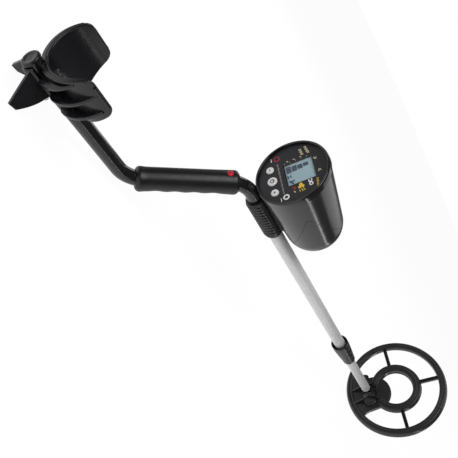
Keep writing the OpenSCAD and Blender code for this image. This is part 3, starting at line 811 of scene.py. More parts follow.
# ---------------------------------------------------------------- armrest
@dataclass
class Armrest:
    """Forearm cuff with crescent ribs, and the two-legged stand under the rod."""

    layout: Layout
    finish: Finishes
    inner_r: float = 50.0
    wall: float = 3.0
    axis_z: float = 65.0
    wing_h: float = 66.0
    rib_t: float = 5.0
    rear_x: float = -45.0
    front_x: float = 37.0
    web_half: float = 7.4
    saddle_r: float = 15.4
    leg_y: float = 12.2
    leg_z: float = -4.0
    foot_y: float = 36.0
    foot_z: float = -41.0
    foot_h: float = 1.7

    def rear_edge(self, z: Array) -> Array:
        """Rear edge of the wings at height z: a shallow bow with an 8 mm corner at the tip."""
        corner = np.clip((z - self.wing_h + 8) / 8, 0, 1)
        return self.rear_x + 11 * (np.clip(z, 0, None) / self.wing_h) ** 2 + 8 * (1 - np.sqrt(1 - corner**2))

    def front_edge(self, z: Array) -> Array:
        """Front edge of the wings at height z: a straight slope with a 12 mm corner at the tip."""
        corner = np.clip((z - self.wing_h + 12) / 12, 0, 1)
        return self.front_x - 0.32 * np.clip(z - 12, 0, None) - 10 * (1 - np.sqrt(1 - corner**2))

    def shell(self) -> Surface:
        """The cuff: each row is the wall's section at an angle round the forearm, from the rear edge along
        the inner face to the front edge and back along the outer face; rows crowd and the wall closes
        like a half circle towards the wing tips.

        Returns:
            The closed surface.
        """
        top = math.acos((self.axis_z - self.wing_h) / self.inner_r)
        a = top * np.sin(np.linspace(-math.pi / 2, math.pi / 2, 181))[:, None]
        half = self.wall / 2
        close = np.clip((top - np.abs(a)) * self.inner_r / half, 0, 1)
        thick = half * np.sqrt(np.clip(1 - (1 - close) ** 2, 0.0004, 1))
        turn = np.linspace(-math.pi / 2, math.pi / 2, 9)[None, :]
        flat = np.linspace(0, 1, 30)[1:-1][None, :]
        z = np.minimum(self.axis_z - self.inner_r * np.cos(a), self.wing_h)
        rear, front = self.rear_edge(z) + half, self.front_edge(z) - half
        run = rear + (front - rear) * flat
        x = np.concatenate([run, front + thick * np.cos(turn), run[:, ::-1], rear - thick * np.cos(turn)], axis=1)
        off = np.concatenate([0 * run - thick, thick * np.sin(turn), 0 * run + thick, -thick * np.sin(turn)], axis=1)
        r = self.inner_r + half + off
        return closed_grid(self.layout.arm.out(np.stack([x, r * np.sin(a), self.axis_z - r * np.cos(a)], axis=-1)))

    def rib(self, x_of: Callable[[Array], Array], thick: float, tip: float, drop: float, reach: float) -> Surface:
        """A crescent between the cuff's skin and a circle whose centre lies lower.

        Args:
            x_of: the rib's rear face as a function of height.
            thick: its thickness along the rod.
            tip: angle of its tips from straight down, in degrees.
            drop: how far the circle's centre lies under the cuff's.
            reach: the circle's radius.

        Returns:
            The closed surface.
        """
        a = np.radians(np.linspace(-tip, tip, 121))
        outer = drop * np.cos(a) + np.sqrt(reach**2 - (drop * np.sin(a)) ** 2)
        outer = np.maximum(outer, self.inner_r + self.wall + 0.2)
        outer = np.minimum(outer, (self.axis_z + 1) / np.cos(a))
        inner = np.full_like(a, self.inner_r + self.wall - 0.4)
        edge = 0.9
        section = [(inner, 0.0), (outer - edge, 0.0), (outer - 0.25, 0.3), (outer, edge),
                   (outer, thick - edge), (outer - 0.25, thick - 0.3), (outer - edge, thick), (inner, thick)]
        loops = [np.stack([x_of(self.axis_z - r * np.cos(a)) + x, r * np.sin(a), self.axis_z - r * np.cos(a)],
                          axis=-1) for r, x in section]
        return closed_grid(self.layout.arm.out(np.stack(loops, axis=1)))

    def half_saddle(self, x0: float, x1: float, radius: float, side: int) -> Surface:
        """Half of a tube that clasps the rod from above (side 1) or below (side -1).

        Args:
            x0: rear end.
            x1: front end.
            radius: outer radius.
            side: 1 or -1.

        Returns:
            An open sheet on the outer face.
        """
        a = np.linspace(-math.pi / 2, math.pi / 2, 49)[:, None]
        x = np.linspace(x0, x1, 25)[None, :]
        ends = np.clip(np.minimum(x - x0, x1 - x) / 4.0, 0, 1)
        r = radius - 2.2 * (1 - np.sqrt(1 - (1 - ends) ** 2))
        grid = np.stack([x + 0 * a, r * np.sin(a), side * (r * np.cos(a) - 0.1)], axis=-1)
        return sheet_grid(self.layout.arm.out(grid[:, ::side]))

    def leg(self, side: Side) -> Surface:
        """A leg: a fan, wide at the rod and narrow at the sole, with a bulging front edge.

        Share t runs down the leg and share v from its rear to its front edge. The last row lies a little
        over the floor's height in the row frame, and the live wall takes it down to the floor.
        """
        t = np.linspace(0, 1, 33)[:, None]
        v = np.linspace(0, 1, 25)[None, :]
        x = (-48.8 + 14.5 * t) * (1 - v) + (-8.2 - 15.4 * t**2.1) * v
        spread = math.atan((self.foot_y - self.leg_y) / (self.leg_z - self.foot_z))
        root = np.stack([x, 0 * x + side.value * self.leg_y, 0 * x + self.leg_z], axis=-1)
        way = np.array([0.0, side.value * math.sin(spread), -math.cos(spread)])
        arm = self.layout.arm
        floor = (arm.out(root)[..., 2] - self.foot_h * MM) / -(way @ arm.axes[:, 2]) / MM
        return sheet_grid(arm.out(root + (t * floor)[..., None] * way)[:, :: side.value])

    def bead(self, side: Side) -> Surface:
        """The rolled bead along a wing's top edge, on its outer side."""
        x = np.linspace(-23, 9, 30)
        a = math.acos((self.axis_z - self.wing_h + 2.4) / (self.inner_r + self.wall))
        r = self.inner_r + self.wall + 0.6
        path = np.stack([x, np.full_like(x, side.value * r * math.sin(a)),
                         np.full_like(x, self.axis_z - r * math.cos(a))], axis=1)
        return swept(self.layout.arm, path, oval(3.4, 4.4), np.tile([0.0, 0.0, 1.0], (30, 1)))

    def rear_rim(self) -> Surface:
        """The rolled rim along the rear edge, standing a little inside the cuff."""
        a = np.radians(np.linspace(-86, 86, 121))
        r = self.inner_r + 0.2
        z = self.axis_z - r * np.cos(a)
        path = np.stack([self.rear_edge(np.minimum(z, self.wing_h - 1)) + 1.6, r * np.sin(a), z], axis=1)
        inwards = np.stack([0 * a, -np.sin(a), np.cos(a)], axis=1)
        return swept(self.layout.arm, path, oval(3.2, 4.0), inwards)

    def build(self) -> None:
        """Makes the cuff, its ribs, rear rim and beads, the web, the stand's saddle and the legs."""
        satin = self.finish.satin
        make("cuff_shell", self.shell(), satin, Body.UPPER, ["arm_cuff"], sharp=50)
        ribs = [self.rib(self.rear_edge, 4.0, 82.0, 5.0, 53.5),
                self.rib(lambda z: 0 * z - 35.5, self.rib_t, 66.0, 22.0, 49.0),
                self.rib(lambda z: 0 * z - 12.5, self.rib_t, 84.0, 18.4, 53.7),
                self.rib(lambda z: 0 * z + 10.5, self.rib_t, 78.0, 18.4, 53.7)]
        web = plate(self.layout.arm, rounded_box(81.0, 3.6, 0.6) + [-5.0, 12.4], -self.web_half, self.web_half,
                    0.5, as_xz)
        for name, surface in (("cuff_ribs", gather(ribs)), ("cuff_rear_rim", self.rear_rim()),
                              ("cuff_beads", gather([self.bead(s) for s in Side])), ("cuff_web", web)):
            make(name, surface, satin, Body.UPPER)
        make("stand_saddle", self.half_saddle(-50, -4, self.saddle_r, -1), satin, Body.UPPER,
             ["arm_stand"], Edging(4.2, -1.0, 0.8))
        for side in Side:
            make(f"stand_leg_{side.name.lower()}", self.leg(side), satin, Body.UPPER,
                 edging=Edging(4.6, 0.0, 0.9))


# ---------------------------------------------------------------- grip
@dataclass
class HandGrip:
    """Soft grip with finger waves, and the red button."""

    layout: Layout
    finish: Finishes
    back: float = 14.0
    length: float = 148.0
    radius: float = 17.2
    end_r: float = 7.0
    wave_pitch: float = 27.0
    button_x: float = 119.0
    button_r: float = 4.6

    def body(self) -> Surface:
        """The grip: radius r(x, a) is a rounded barrel less four finger waves under the hand.

        Returns:
            The closed surface.
        """
        s = np.concatenate([np.linspace(0, 12, 17)[:-1], np.linspace(12, self.length - 12, 111)[:-1],
                            np.linspace(self.length - 12, self.length, 17)])[:, None]
        a = np.linspace(0, 2 * math.pi, 96, endpoint=False)[None, :]
        near = np.minimum(s, self.length - s)
        rounding = self.end_r * (1 - np.sqrt(1 - (1 - np.clip(near / self.end_r, 0, 1)) ** 2))
        rear = 0.8 * np.exp(-((s - 7) / 5.5) ** 2)
        front = 0.8 / (1 + np.exp(-(s - self.length + 24) / 4))
        under = np.clip(-np.cos(a), 0, 1) ** 1.4
        wave = 0.5 - 0.5 * np.cos(2 * math.pi * (s - 17.5) / self.wave_pitch)
        wave = wave * ((s > 17.5) & (s < 17.5 + 4 * self.wave_pitch))
        flare = 0.8 * np.exp(-((s - self.length + 8) / 8) ** 2) * under
        r = self.radius + rear + front * 0.3 + flare - rounding - 1.9 * wave * under
        hollow = (s - self.back - self.button_x) ** 2 + (r * np.sin(a)) ** 2
        r = r - 0.5 * np.exp(-hollow / 30.0) * (np.cos(a) > 0)
        return closed_grid(self.layout.grip.out(around(s - self.back, r, -a)))

    def build(self) -> None:
        """Makes the grip and the button."""
        make("soft_grip", self.body(), self.finish.rubber, Body.UPPER, ["hand_grip"])
        at = Placing(self.layout.grip.out(np.array([self.button_x, 0, 0])),
                     np.array([self.layout.grip.axes[2], Y_AXIS, -self.layout.grip.axes[0]]))
        r = self.button_r
        dome = [[14.4, 0.01], [14.4, r - 0.1], [18.2, r - 0.1]]
        dome += arc_points(18.2, r - 1.6, 1.5, 90, 20) + [[20.0, r * 0.4], [20.15, 0.01]]
        make("red_button_cap", lathe(at, dome, 64), self.finish.red, Body.BUTTON, ["push_button"])


# ---------------------------------------------------------------- control box
@dataclass
class BoxShape:
    """The box's meridian: a cone from the face to a round nose, with the cover's V-shaped seam.

    Args:
        face_r: radius at the face.
        nose_r: radius of the nose's sphere.
        nose_x: distance of the sphere's centre from the face.
        seam_x: the seam's apex behind the face.
        seam_angle: half angle of the seam's V, in degrees.
    """

    face_r: float = 56.5
    nose_r: float = 46.5
    nose_x: float = 126.0
    seam_x: float = 49.0
    seam_angle: float = 25.0

    def meridian(self) -> Array:
        """The section as (x, r): the cone's line, then the sphere's arc to the pole, evenly spaced."""
        slope = math.asin((self.face_r - self.nose_r) / self.nose_x)
        start_r = self.face_r / math.cos(slope)
        a = np.linspace(slope, math.pi / 2, 120)
        ball = np.stack([self.nose_x + self.nose_r * np.sin(a), self.nose_r * np.cos(a)], axis=1)
        line = np.linspace(0, 1, 200)[:-1, None] * (ball[0] - [0, start_r]) + [0, start_r]
        return np.vstack([line, ball])

    def sample(self, share: Array) -> Array:
        """(x, r) at shares of the meridian's length."""
        m = self.meridian()
        run = np.concatenate([[0], np.cumsum(np.linalg.norm(np.diff(m, axis=0), axis=1))])
        along = share * run[-1]
        return np.stack([np.interp(along, run, m[:, 0]), np.interp(along, run, m[:, 1])], axis=-1)

    def crossing(self, test: Callable[[Array, Array, Array], Array], azimuth: Array) -> Array:
        """The share of the meridian where a test first turns positive.

        Args:
            test: a function of (x, r, azimuth).
            azimuth: angles from up.

        Returns:
            One share for each azimuth.
        """
        share = np.linspace(0, 1, 2001)
        xr = self.sample(share)
        value = test(xr[:, :1], xr[:, 1:], azimuth[None, :])
        first = np.argmax(value > 0, axis=0)
        return share[first]

    def seam_test(self, ahead: float) -> Callable[[Array, Array, Array], Array]:
        """Positive inside the cover's wedge |z| < (x - seam) tan(angle), its edge moved on by ahead."""
        steep = math.tan(math.radians(self.seam_angle))

        def inside(x: Array, r: Array, azimuth: Array) -> Array:
            """How far inside the wedge a point is; the V's tip is rounded by a 3 mm hyperbola."""
            z = np.sqrt((r * np.cos(azimuth)) ** 2 + 3.0**2) - 3.0 * 0.5
            return (x - self.seam_x - ahead) * steep - z

        return inside


@dataclass
class ControlBox:
    """Housing, battery cover, sleeve, bezel, panel, display and keys."""

    layout: Layout
    finish: Finishes
    shape: BoxShape = field(default_factory=BoxShape)
    wall: float = 2.6
    seam_gap: float = 0.5
    bezel_depth: float = 7.3
    panel_x: float = 4.2
    hood: float = 4.0
    hood_x: float = 4.0
    hood_turn: float = 50.0
    lcd_w: float = 39.0
    lcd_h: float = 42.0
    lcd_z: float = 10.3
    key_y: float = 21.5
    key_z: float = -31.8
    sleeve_back: float = 785.0
    sleeve_len: float = 93.0
    sleeve_r: float = 15.0
    rib_pitch: float = 6.9

    def skin(self, start: Array, stop: Array, rows: int, azimuth: Array) -> Array:
        """Points of the box's skin between two shares of the meridian.

        Args:
            start: first share, one for each azimuth.
            stop: last share, one for each azimuth.
            rows: points from start to stop.
            azimuth: angles from up, towards the operator's right.

        Returns:
            The points, rows x azimuths x 3.
        """
        t = np.linspace(0, 1, rows)[:, None]
        xr = self.shape.sample(start[None, :] * (1 - t) + stop[None, :] * t)
        return self.layout.box.out(around(xr[..., 0], xr[..., 1], -azimuth))

    def face_cut(self) -> Callable[[Array, Array, Array], Array]:
        """Positive behind the bezel's rear face, which leans with the face and not with the box."""
        lean = math.acos(min(1.0, float(self.layout.box.axes[0] @ self.layout.face.axes[0])))

        def behind(x: Array, r: Array, azimuth: Array) -> Array:
            """Distance behind the bezel."""
            return x * math.cos(lean) + r * np.cos(azimuth) * math.sin(lean) - self.bezel_depth

        return behind

    def build_shells(self) -> None:
        """The housing from the bezel to the seam, and the cover from the seam to the nose."""
        a = np.linspace(0, 2 * math.pi, 256, endpoint=False)
        first = self.shape.crossing(self.face_cut(), a)
        seam = self.shape.crossing(self.shape.seam_test(-self.seam_gap / 2), a)
        after = self.shape.crossing(self.shape.seam_test(self.seam_gap / 2), a)
        housing = sheet_grid(self.skin(first, seam, 70, a), wrap=True)
        make("housing_shell", housing, self.finish.box, Body.UPPER, ["control_housing"],
             Edging(self.wall, -1.0, 0.35))
        grid = self.skin(after, np.full_like(a, 0.9995), 70, a)
        nose = sheet_grid(grid, wrap=True)
        n = len(nose.vertices)
        last = np.arange(len(a)) + n - len(a)
        cap = np.stack([np.roll(last, -1), last, np.full(len(a), n)], axis=1)
        tip = self.layout.box.out(np.array([[self.shape.nose_x + self.shape.nose_r, 0.0, 0.0]]))
        cover = Surface(np.vstack([nose.vertices, tip]), nose.quads, cap[:, ::-1])
        make("battery_cover_shell", cover, self.finish.box, Body.COVER, ["battery_cover"],
             Edging(self.wall, -1.0, 0.35))
        back = [[42.0, 0.01], [42.0, 52.9], [44.6, 52.9], [44.6, 0.01]]
        make("box_bulkhead", lathe(self.layout.box, back, 96), self.finish.dark, Body.UPPER)

    def build_sleeve(self) -> None:
        """The sleeve round both tubes, ribbed on the palm's side, and the web that carries the box."""
        x = np.concatenate([np.linspace(0, 4, 7)[:-1], np.linspace(4, self.sleeve_len - 6, 150),
                            np.linspace(self.sleeve_len - 6, self.sleeve_len, 13)[1:]])[:, None]
        a = np.linspace(0, 2 * math.pi, 120, endpoint=False)[None, :]
        front = np.clip((x - self.sleeve_len + 5) / 5, 0, 1)
        rear = np.clip((1.5 - x) / 1.5, 0, 1)
        phase = 2 * math.pi * (x - 2.4 - 2.0 * np.cos(a)) / self.rib_pitch
        ridge = np.clip(0.6 + 1.2 * np.cos(phase), 0, 1)
        reach = 1 / (1 + np.exp((np.cos(a) - 0.12) * 16))
        span = np.clip((x - 2) / 3, 0, 1) * np.clip((self.sleeve_len - 7 - x) / 3, 0, 1)
        r = self.sleeve_r - 0.3 + 1.4 * ridge * reach * span
        r = r - 5 * (1 - np.sqrt(1 - front**2)) - 1.5 * (1 - np.sqrt(1 - rear**2))
        stem = self.layout.stem
        sleeve = closed_grid(stem.out(around(x - self.sleeve_back, r, -a)))
        make("rod_sleeve", sleeve, self.finish.satin, Body.UPPER)
        half = np.linspace(0, 1, 15)
        side = 7.5 + 8.5 * half**2.2
        height = 8.0 + 14.0 * half
        loop = np.vstack([np.stack([side, height], axis=1), np.stack([-side, height], axis=1)[::-1]])
        along = np.linspace(-self.sleeve_back, -self.sleeve_back + self.sleeve_len - 6, 12)
        web = np.stack([np.repeat(along[:, None], len(loop), axis=1), np.tile(loop[:, 0], (12, 1)),
                        np.tile(loop[:, 1], (12, 1))], axis=-1)
        make("sleeve_web", closed_grid(stem.out(web)), self.finish.satin, Body.UPPER)

    def build_face(self) -> None:
        """Bezel and the display's pane, frame and segments."""
        face = self.layout.face
        outer, inner = self.shape.face_r + 0.35, self.shape.face_r - 3.4
        ring = [[7.2, outer], [3.0, outer]] + arc_points(1.9, outer - 1.9, 1.9, 90, 180)
        ring += arc_points(1.2, inner + 1.2, 1.2, 180, 270) + [[5.9, inner], [5.9, 50.2], [10.0, 50.2],
                                                              [10.0, 52.0], [7.2, 52.0]]
        x, r = np.array(ring)[:, :1], np.array(ring)[:, 1:]
        a = np.linspace(0, 2 * math.pi, 160, endpoint=False)
        front_share = np.clip(1 - x / self.hood_x, 0, 1)
        towards = (0.5 + 0.5 * np.cos(a + math.radians(self.hood_turn))) ** 1.5
        hooded = around(x - self.hood * front_share * towards, r, a)
        make("face_ring", closed_grid(face.out(hooded), ring=True), self.finish.paint, Body.UPPER,
             ["face_bezel"])
        middle = np.array([0.0, self.lcd_z])
        frame_t = 1.3
        hole = rounded_box(self.lcd_w - 0.6, self.lcd_h - 0.6, 1.2)
        rim = rounded_box(self.lcd_w + 2 * frame_t, self.lcd_h + 2 * frame_t, 2.2)
        section = [(rim, -self.panel_x - 0.05), (rim * 0.995, -self.panel_x + 0.35), (hole, -self.panel_x + 0.2),
                   (hole, -self.panel_x - 0.9)]
        loops = [np.concatenate([p + middle, np.full((len(p), 1), h)], axis=1) for p, h in section]
        make("display_frame", closed_grid(face.out(as_face(np.stack(loops))), ring=True), self.finish.paint,
             Body.UPPER)
        pane = plate(face, hole * 0.999 + middle, -self.panel_x - 0.85, -self.panel_x - 0.15, 0.15, as_face)
        make("display_pane", pane, self.finish.window, Body.UPPER, ["display_window"])
        glass_back = -self.panel_x - 1.75
        blocks = [(-10.6, -5.1, 12.0, 7.4), (-10.1, 3.4, 9.8, 7.4), (-9.9, 12.0, 8.0, 7.4), (-10.5, 20.8, 6.2, 7.8)]
        segments = [plate(face, rounded_box(w, h, 0.5) + [x, y], glass_back, glass_back + 0.4, 0.1, as_face)
                    for x, y, w, h in blocks]
        stroke = [(2.2, -4.2, 5.6, 1.5), (2.2, -8.4, 5.6, 1.5), (2.2, -6.3, 1.6, 4.4)]
        segments += [plate(face, rounded_box(w, h, 0.3) + [x, y], glass_back, glass_back + 0.4, 0.1, as_face)
                     for x, y, w, h in stroke]
        arrow = np.array([[9.0, -8.2], [12.6, -7.6], [17.6, -3.4], [16.6, -1.2], [13.0, -4.2], [12.2, 0.2],
                          [9.8, 0.2], [10.2, -5.2]])
        segments.append(plate(face, arrow, glass_back, glass_back + 0.4, 0.1, as_face))
        make("display_segments", gather(segments), self.finish.segment, Body.UPPER)

    def build_keys(self) -> None:
        """Three domed keys with generic ink marks: a minus, a ring with a stroke, and a plus."""
        front = -self.panel_x + 1.45
        keys = ((Body.KEY_LEFT, 1, 6.0, "left_key"), (Body.KEY_MIDDLE, 0, 7.5, "middle_key"),
                (Body.KEY_RIGHT, -1, 6.0, "right_key"))
        for body, side, radius, node in keys:
            at = Placing(self.layout.face.out(np.array([0, side * self.key_y, self.key_z])),
                         self.layout.face.axes)
            p = self.panel_x
            cap = [[p + 6.0, 0.01], [p + 6.0, 2.4], [p + 3.2, 2.4], [p + 3.2, radius + 1.1],
                   [p + 2.0, radius + 1.1], [p + 2.0, radius - 0.05], [p - 0.3, radius - 0.05]]
            cap += arc_points(p - 0.3, radius - 1.15, 1.1, 90, 170) + [[p - 1.34, radius * 0.6], [p - 1.28, 0.01]]
            make(f"{node}_cap", lathe(at, cap, 72), self.finish.key, body, [node])
            bar = rounded_box(3.6, 1.0, 0.45)
            marks = [bar] if side == 1 else [bar, bar[:, ::-1] * [1, -1]]
            if side == 0:
                ring = [[-front + 0.3, 2.3], [-front - 0.1, 2.3], [-front - 0.1, 3.4], [-front + 0.3, 3.4]]
                stroke = plate(at, rounded_box(1.1, 3.0, 0.5) + [0, 1.9], front - 0.3, front + 0.12, 0.08, as_face)
                ink = gather([lathe(at, ring, 48, ring=True), stroke])
            else:
                ink = gather([plate(at, m, front - 0.3, front + 0.1, 0.08, as_face) for m in marks])
            make(f"{node}_mark", ink, self.finish.ink, body)

    def build_print(self) -> None:
        """Generic printed marks round the display: dots, bars, rings, coins and strokes, no lettering."""
        face = self.layout.face
        low, high = -self.panel_x - 0.2, -self.panel_x + 0.1

        def bars(rows: Sequence[Sequence[float]]) -> list[Surface]:
            """Bars from (right, up, width, height, turn in degrees)."""
            found = []
            for x, y, w, h, turn in rows:
                c, s = math.cos(math.radians(turn)), math.sin(math.radians(turn))
                shape = rounded_box(w, h, min(w, h) * 0.45) @ np.array([[c, s], [-s, c]]) + [x, y]
                found.append(plate(face, shape, low, high, 0.05, as_face))
            return found

        def rings(rows: Sequence[Sequence[float]]) -> list[Surface]:
            """Rings from (right, up, outer radius, inner radius)."""
            found = []
            for x, y, outer, inner in rows:
                at = Placing(face.out(np.array([0, -x, y])), face.axes)
                loop = [[-low, inner], [-high, inner], [-high, outer], [-low, outer]]
                found.append(lathe(at, loop, 48, ring=True))
            return found

        dots = [(-22.6, -9.0 + 8.6 * i, 1.1, 1.1, 0) for i in range(5)]
        ticks = [(-25.6, -4.0 + 10.0 * i, 3.0, 1.2, 68) for i in range(3)]
        labels = [(-39.0 + 2.6 * k, 17.6 + 0.5 * k, 1.4, 4.4 - 0.8 * (k % 2), 0) for k in range(5)]
        labels += [(-40.4 + 2.5 * k, 26.2 + 0.5 * k, 1.4, 4.2 - 0.7 * (k % 2), 0) for k in range(6)]
        labels += [(-13.4, 35.2, 4.6, 1.2, 20), (-13.0, 37.6, 4.0, 1.1, -14), (10.6, 37.2, 4.6, 1.2, -24),
                   (11.0, 39.6, 4.0, 1.1, 16), (32.6, -3.6, 3.6, 1.4, 40)]
        make("print_cream", gather(bars(dots + ticks + labels)), self.finish.cream, Body.UPPER)
        coins = [(23.6, 7.2, 2.7, 0.02), (27.4, 9.4, 2.5, 0.02), (27.6, 4.8, 2.3, 0.02)]
        strokes = [(33.4, 10.6, 5.6, 1.2, 24), (33.8, 7.4, 5.8, 1.2, 18), (34.2, 4.0, 4.0, 1.1, 18)]
        strokes += [(24.0 + 2.4 * k, 32.4 - 0.4 * k, 1.3, 3.6 - 0.6 * (k % 2), -8) for k in range(6)]
        make("print_yellow", gather(bars(strokes) + rings(coins)), self.finish.yellow, Body.UPPER)
        red = rings([(-38.2, -18.6, 4.9, 3.3)]) + bars([(-35.0, -14.6, 3.0, 1.0, 40), (24.4, -3.4, 6.4, 1.3, 62),
                                                       (27.8, -3.0, 5.6, 1.3, 128)])
        make("print_red", gather(red), self.finish.crimson, Body.UPPER)
        white = rings([(36.0, -17.0, 4.8, 2.5), (22.6, 21.6, 3.1, 1.6), (28.6, 22.0, 3.1, 1.6)])
        white += bars([(-38.6, -27.0, 6.2, 1.2, 0), (38.0, -25.0, 6.2, 1.2, 0)])
        make("print_white", gather(white), self.finish.white, Body.UPPER)
        dashes = [(-27.0 + 2.6 * k, -19.2, 1.5, 3.0 - 0.7 * (k % 3), 0) for k in range(22)]
        make("print_grey", gather(bars(dashes)), self.finish.grey, Body.UPPER)

    def build(self) -> None:
        """Makes the whole box."""
        self.build_shells()
        self.build_sleeve()
        self.build_face()
        self.build_keys()
        self.build_print()


# ---------------------------------------------------------------- stem
@dataclass
class TelescopicStem:
    """Middle tube, twist-lock collar and lower tube."""

    layout: Layout
    finish: Finishes
    middle_r: float = 11.0
    lower_r: float = 9.7
    middle_start: float = -740.0
    middle_end: float = -235.0
    lower_start: float = -470.0
    lower_end: float = -20.0
    collar_back: float = 271.0
    collar_len: float = 84.0
    mouth_r: float = 17.0
    nose_r: float = 12.6

    def tube(self, start: float, end: float, outer: float, wall: float) -> Surface:
        """A tube with softly broken ends, as a closed wall section turned about the stem.

        Args:
            start: rear end, in the stem's frame.
            end: front end.
            outer: outer radius.
            wall: wall thickness.

        Returns:
            The closed surface.
        """
        inner = outer - wall
        section = [[start, inner], [start, outer - 0.25], [start + 0.3, outer], [end - 0.3, outer],
                   [end, outer - 0.25], [end, inner]]
        return lathe(self.layout.stem, section, 96, ring=True)

    def collar(self) -> Surface:
        """The collar: a taper r(x) with fine grip ridges over two patches, open at its mouth."""
        end = self.collar_len
        skin = np.array([[0.4, 15.3], [0.0, 15.8], [0.2, 16.5], [0.9, 17.0]] +
                        [[x, self.mouth_r] for x in np.linspace(2, 13, 8)] +
                        [[x, self.mouth_r - (x - 13) * 0.062] for x in np.linspace(14, 70, 113)] +
                        [[x, self.mouth_r - 3.53 - (x - 70) * 0.04] for x in np.linspace(71, end - 1.5, 9)] +
                        [[end - 0.5, self.nose_r - 0.4], [end, self.nose_r - 1.1], [end, self.lower_r + 0.35],
                         [end - 16, self.lower_r + 0.35], [64.0, 11.7], [45.0, 13.3], [6.0, 13.3], [4.0, 14.6]])
        a = np.linspace(0, 2 * math.pi, 120, endpoint=False)[None, :]
        x, r = skin[:, :1], skin[:, 1:]
        outside = (r > 12.9) & (x > 14) & (x < 68)
        span = np.clip((x - 15) / 3, 0, 1) * np.clip((60 - x) / 3, 0, 1) * outside
        patch = 1 / (1 + np.exp(-(np.abs(np.cos(a + 0.25)) - 0.72) * 22))
        ridge = np.clip(0.4 + 1.3 * np.cos(2 * math.pi * x / 3.6), 0, 1)
        rr = r + 0.75 * ridge * patch * span - 0.35 * patch * span
        return closed_grid(self.layout.stem.out(around(x - self.collar_back, rr, a)), ring=True)

    def build(self) -> None:
        """Makes both tubes and the collar."""
        middle = self.tube(self.middle_start, self.middle_end, self.middle_r, 1.0)
        make("middle_tube_wall", middle, self.finish.tube, Body.UPPER, ["middle_tube"])
        lower = self.tube(self.lower_start, self.lower_end, self.lower_r, 1.0)
        make("lower_tube_wall", lower, self.finish.tube, Body.LOWER, ["lower_tube"])
        make("twist_collar", self.collar(), self.finish.rubber, Body.COLLAR, ["lock_collar"])


